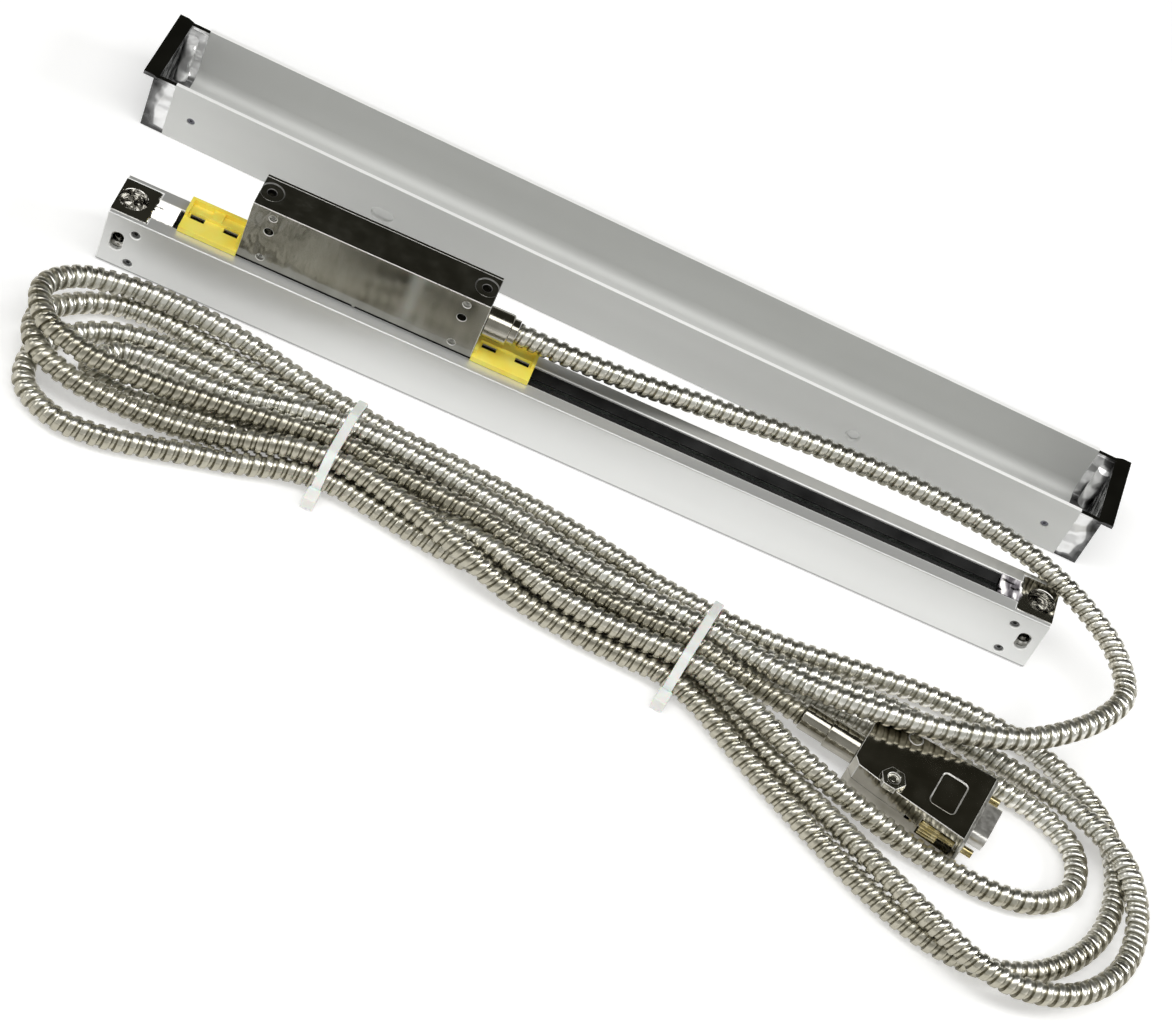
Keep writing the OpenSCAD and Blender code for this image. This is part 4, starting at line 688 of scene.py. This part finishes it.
# painted shade: the colour darkens on the sides of the tube, and most on its underside
painted_underside_shade = ramp_of(tree, turns.outputs["Y"], 0, 1, [
    (0.0, (0.70, 0.68, 0.62)), (0.07, (0.78, 0.76, 0.71)), (0.13, (1, 1, 1)), (0.37, (1, 1, 1)),
    (0.43, (0.78, 0.76, 0.71)), (0.5, (0.70, 0.68, 0.62)), (0.75, (0.50, 0.48, 0.42))])
dim(strip_metal, painted_underside_shade.outputs[0])
rolled = ramp_of(tree, part_turn, 0, 1, [
    (0.0, (0, 0, 0)), (0.10, (0.9, 0.9, 0.9)), (0.19, (1, 1, 1)), (0.28, (0.9, 0.9, 0.9)),
    (0.37, (0, 0, 0)), (0.43, (0, 0, 0)), (0.54, (0.9, 0.9, 0.9)), (0.68, (1, 1, 1)),
    (0.82, (0.9, 0.9, 0.9)), (0.94, (0, 0, 0))])
rolled.color_ramp.interpolation = "B_SPLINE"
normal = shader_of(strip_metal).inputs["Normal"]
tree.links.new(relief_of(tree, rolled.outputs[0], 0.9, 0.0003, normal.links[0].from_socket), normal)
print("made", strip_metal.name, "with", len(tree.nodes), "nodes")

# %% [markdown]
# ## Finishes of the CAD pieces
# A CAD piece keeps its shape. It gets its finish, and a small rounding of its sharp edges by
# modifiers: weld its loose triangles, bevel, and weight the normals so that flats stay flat.

# %% Which finish goes where
LOOKS = {
    anodised: ["scale_body"],
    cover_metal: ["cover_channel"],
    head_chrome: ["head_housing", "head_back_plate"],
    block_chrome: ["end_block_left", "end_block_right"],
    cap_chrome: ["cover_cap_left", "cover_cap_right"],
    nickel: ["cable_gland", "conduit_sleeve", "hood_lower", "hood_upper"],
    jewel: ["hood_screws"],
    tin: ["connector_shell"],
    rubber: ["seal_lip_front", "seal_lip_back"],
    dull_rubber: ["glass_clamp_strip"],
    glass: ["glass_scale", "condenser_lens", "index_grating"],
    black_steel: ["end_block_screws", "back_plate_screws", "neck_screws", "sensor_board_screws"],
    bright_steel: ["front_screws", "neck_blade", "coupling_spring", "roller_pins", "face_roller_left",
                   "face_roller_upper", "face_roller_right", "edge_roller_left", "edge_roller_right"],
    dark_alloy: ["carriage", "cover_cap_screws"],
    board_green: ["circuit_board", "sensor_board"],
    clear_epoxy: ["led_lamp"],
    yellow: ["transport_bracket_left", "transport_bracket_right"],
    black_moulding: ["connector_insulator"],
    gilt: ["connector_pins"],
    brass: ["thumb_screw_far", "thumb_screw_near"],
}
# the bright edge finishes here are painted highlights
EDGES = {
    "scale_body": cut_edge_white_highlight,
    "head_housing": head_edge_highlight_and_shade,
    "head_back_plate": bright_edge_highlight,
    "hood_upper": bright_edge_highlight,
    "hood_screws": bright_edge_highlight,
}
# a second finish on the faces that look up and lie above a height: a painted highlight on the
# cover's rim and a painted dark reflection on the caps' lips
RIMS = {
    "cover_channel": (cut_edge_white_highlight, 0.0249),
    "cover_cap_left": (lip_dark_reflection, 0.0235),
    "cover_cap_right": (lip_dark_reflection, 0.0235),
}
print("finishes:", len(LOOKS), "with", len(EDGES), "edge finishes and", len(RIMS), "rims")

# %% [markdown]
# ## Rounded edges
# A real edge is never perfectly sharp, and its small rounding is what catches the light. Each width
# is in millimetres, and pieces that aren't listed keep the edges of the CAD model.

# %% Dress the CAD pieces
ROUNDING = {
    "scale_body": 0.4, "cover_channel": 0.6, "head_housing": 0.24, "head_back_plate": 0.15,
    "end_block_left": 0.3, "end_block_right": 0.3, "cover_cap_left": 0.3, "cover_cap_right": 0.3,
    "seal_lip_front": 0.3, "seal_lip_back": 0.3, "transport_bracket_left": 0.3,
    "transport_bracket_right": 0.3, "hood_upper": 0.24, "hood_lower": 0.4, "hood_screws": 0.2,
    "conduit_sleeve": 0.2, "cable_gland": 0.2, "connector_shell": 0.15,
}
ROUND_SEGMENTS = 3
FLAT_WITHIN, EDGE_FROM = math.radians(0.6), math.radians(35)
LOOKS_UP = 0.9


def round_edges(node, width, edge_finish):
    """Softens the edges of a CAD piece, with a finish of their own if there is one."""
    node.modifiers.new("weld", "WELD").merge_threshold = SAME_PLACE
    flats = node.modifiers.new("join flats", "DECIMATE")
    flats.decimate_type = "DISSOLVE"
    flats.angle_limit = FLAT_WITHIN
    bevel = node.modifiers.new("round edges", "BEVEL")
    bevel.width = width
    bevel.segments = ROUND_SEGMENTS
    bevel.limit_method = "ANGLE"
    bevel.angle_limit = EDGE_FROM
    bevel.use_clamp_overlap = edge_finish is None
    if edge_finish:
        node.data.materials.append(edge_finish)
        bevel.material = 1
    node.data.polygons.foreach_set("use_smooth", [True] * len(node.data.polygons))
    node.modifiers.new("flat faces", "WEIGHTED_NORMAL").keep_sharp = False


def dress(name, material):
    """Gives a CAD piece its finish, its softer edges and the finish of its rim, where it has them."""
    node = nodes[name]
    node.data.materials.clear()
    node.data.materials.append(material)
    if name in ROUNDING:
        round_edges(node, ROUNDING[name] * MM, EDGES.get(name))
    if name in RIMS:
        second, height = RIMS[name]
        node.data.materials.append(second)
        for face in node.data.polygons:
            if face.normal.z > LOOKS_UP and (node.matrix_world @ face.center).z > height:
                face.material_index = 1


for material, names in LOOKS.items():
    for name in names:
        dress(name, material)
print("dressed", sum(len(names) for names in LOOKS.values()), "CAD pieces")

# %% [markdown]
# ## Ties
# Two nylon ties hold the hank. Each is a thin band that is pulled round the strands it holds, so
# its outline is the smallest loop round them.

# %% Where the ties sit
TIES = {"left": (Vector((-72, -49, 0)), 3.5), "right": (Vector((63.5, -67.3, 0)), 9.5)}    # place, degrees
UNDER_THE_ARCH = 20                         # a strand above this height isn't in the hank
UP = Vector((0, 0, 1))


def tie_axes(angle):
    """The directions along the strands and across them, at a tie turned by this angle."""
    turn = math.radians(angle)
    along = Vector((math.cos(turn), -math.sin(turn), 0))
    across = Vector((math.sin(turn), math.cos(turn), 0))
    return along, across


def strands_at(centre, along, across):
    """Where the cable passes a tie: (across, up) of each strand in the tie's plane."""
    found = []
    for a, b in zip(cable_run.line, cable_run.line[1:]):
        da, db = (a - centre).dot(along), (b - centre).dot(along)
        if (da < 0) != (db < 0) and a.z < UNDER_THE_ARCH:
            p = a.lerp(b, da / (da - db))
            found.append(((p - centre).dot(across), p.z))
    return found


for side_name, (centre, angle) in TIES.items():
    print("strands in the", side_name, "tie:", len(strands_at(centre, *tie_axes(angle))))

# %% [markdown]
# ## The band and its head
# The band is one thin strip, closed round the strands, and its end is pulled through a small block,
# the head, which sits on the viewer's side of the hank.

# %% Ties
BAND_WIDTH, BAND_THICKNESS = 3.4, 1.1
BAND_GAP = 0.1
HEAD_SIZE = Vector((4.6, 6.0, 5.2))
HEAD_OUT, HEAD_UP = 2.6, 3.0                # the head's middle, from the band and from the floor
HALF_TURN_STEPS = 18


def loop_round(strands):
    """The smallest loop round the strands, a little clear of them."""
    reach = CABLE_RADIUS + BAND_GAP
    turns = [t * math.pi / HALF_TURN_STEPS for t in range(2 * HALF_TURN_STEPS)]
    rim = [(y + reach * math.cos(t), z + reach * math.sin(t)) for y, z in strands for t in turns]
    return [Vector(rim[i]) for i in geometry.convex_hull_2d(rim)]


def band_along(loop, centre, along, across):
    """A thin closed band that follows the loop."""
    bm = bmesh.new()
    rows = []
    for side in (-1, 1):
        shift = along * side * BAND_WIDTH / 2
        row = [centre + across * p.x + Vector((0, 0, p.y)) + shift for p in loop]
        rows.append([bm.verts.new(place * MM) for place in row])
    for i in range(len(loop)):
        j = (i + 1) % len(loop)
        bm.faces.new([rows[0][i], rows[0][j], rows[1][j], rows[1][i]])
    bmesh.ops.recalc_face_normals(bm, faces=bm.faces)
    middle = sum((f.calc_center_median() for f in bm.faces), Vector()) / len(bm.faces)
    outward = sum(f.normal.dot(f.calc_center_median() - middle) for f in bm.faces) > 0
    bmesh.ops.solidify(bm, geom=bm.faces[:], thickness=(-1 if outward else 1) * BAND_THICKNESS * MM)
    return bm


def add_head(bm, at, along, across):
    """The block that the band is pulled through."""
    head = bmesh.ops.create_cube(bm, size=1)["verts"]
    bmesh.ops.scale(bm, verts=head, vec=HEAD_SIZE * MM)
    turn = Matrix((along, across, UP)).transposed().to_4x4()
    bmesh.ops.transform(bm, verts=head, matrix=turn)
    bmesh.ops.translate(bm, verts=head, vec=at * MM)


def tie(name, centre, angle):
    """A nylon tie round the strands that pass this place."""
    along, across = tie_axes(angle)
    strands = strands_at(centre, along, across)
    loop = loop_round(strands)
    bm = band_along(loop, centre, along, across)
    out = min(p.x for p in loop) - BAND_THICKNESS - HEAD_OUT
    add_head(bm, centre + across * out + Vector((0, 0, HEAD_UP)), along, across)
    piece = linked(name, mesh_from(bm, name))
    piece.data.materials.append(nylon)
    bevel = piece.modifiers.new("round edges", "BEVEL")
    bevel.width, bevel.segments, bevel.limit_method = 0.4 * MM, 3, "ANGLE"
    bevel.angle_limit = math.radians(40)
    piece.modifiers.new("flat faces", "WEIGHTED_NORMAL")
    print(name, "holds", len(strands), "strands")
    return piece


ties = {}
for side_name, (centre, angle) in TIES.items():
    ties[side_name] = tie("nylon_tie_" + side_name, centre, angle)
    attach(ties[side_name], "read_head")
    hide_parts("cable_tie_" + side_name)

# %% [markdown]
# ## What the cable is
# The cable gets the finish of its strip and rides on the reading head. It stands for the two CAD
# solids of the conduit, which are hidden.

# %% Cable finish
cable.data.materials.append(strip_metal)
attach(cable, "read_head")
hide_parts("conduit", "conduit_hank")
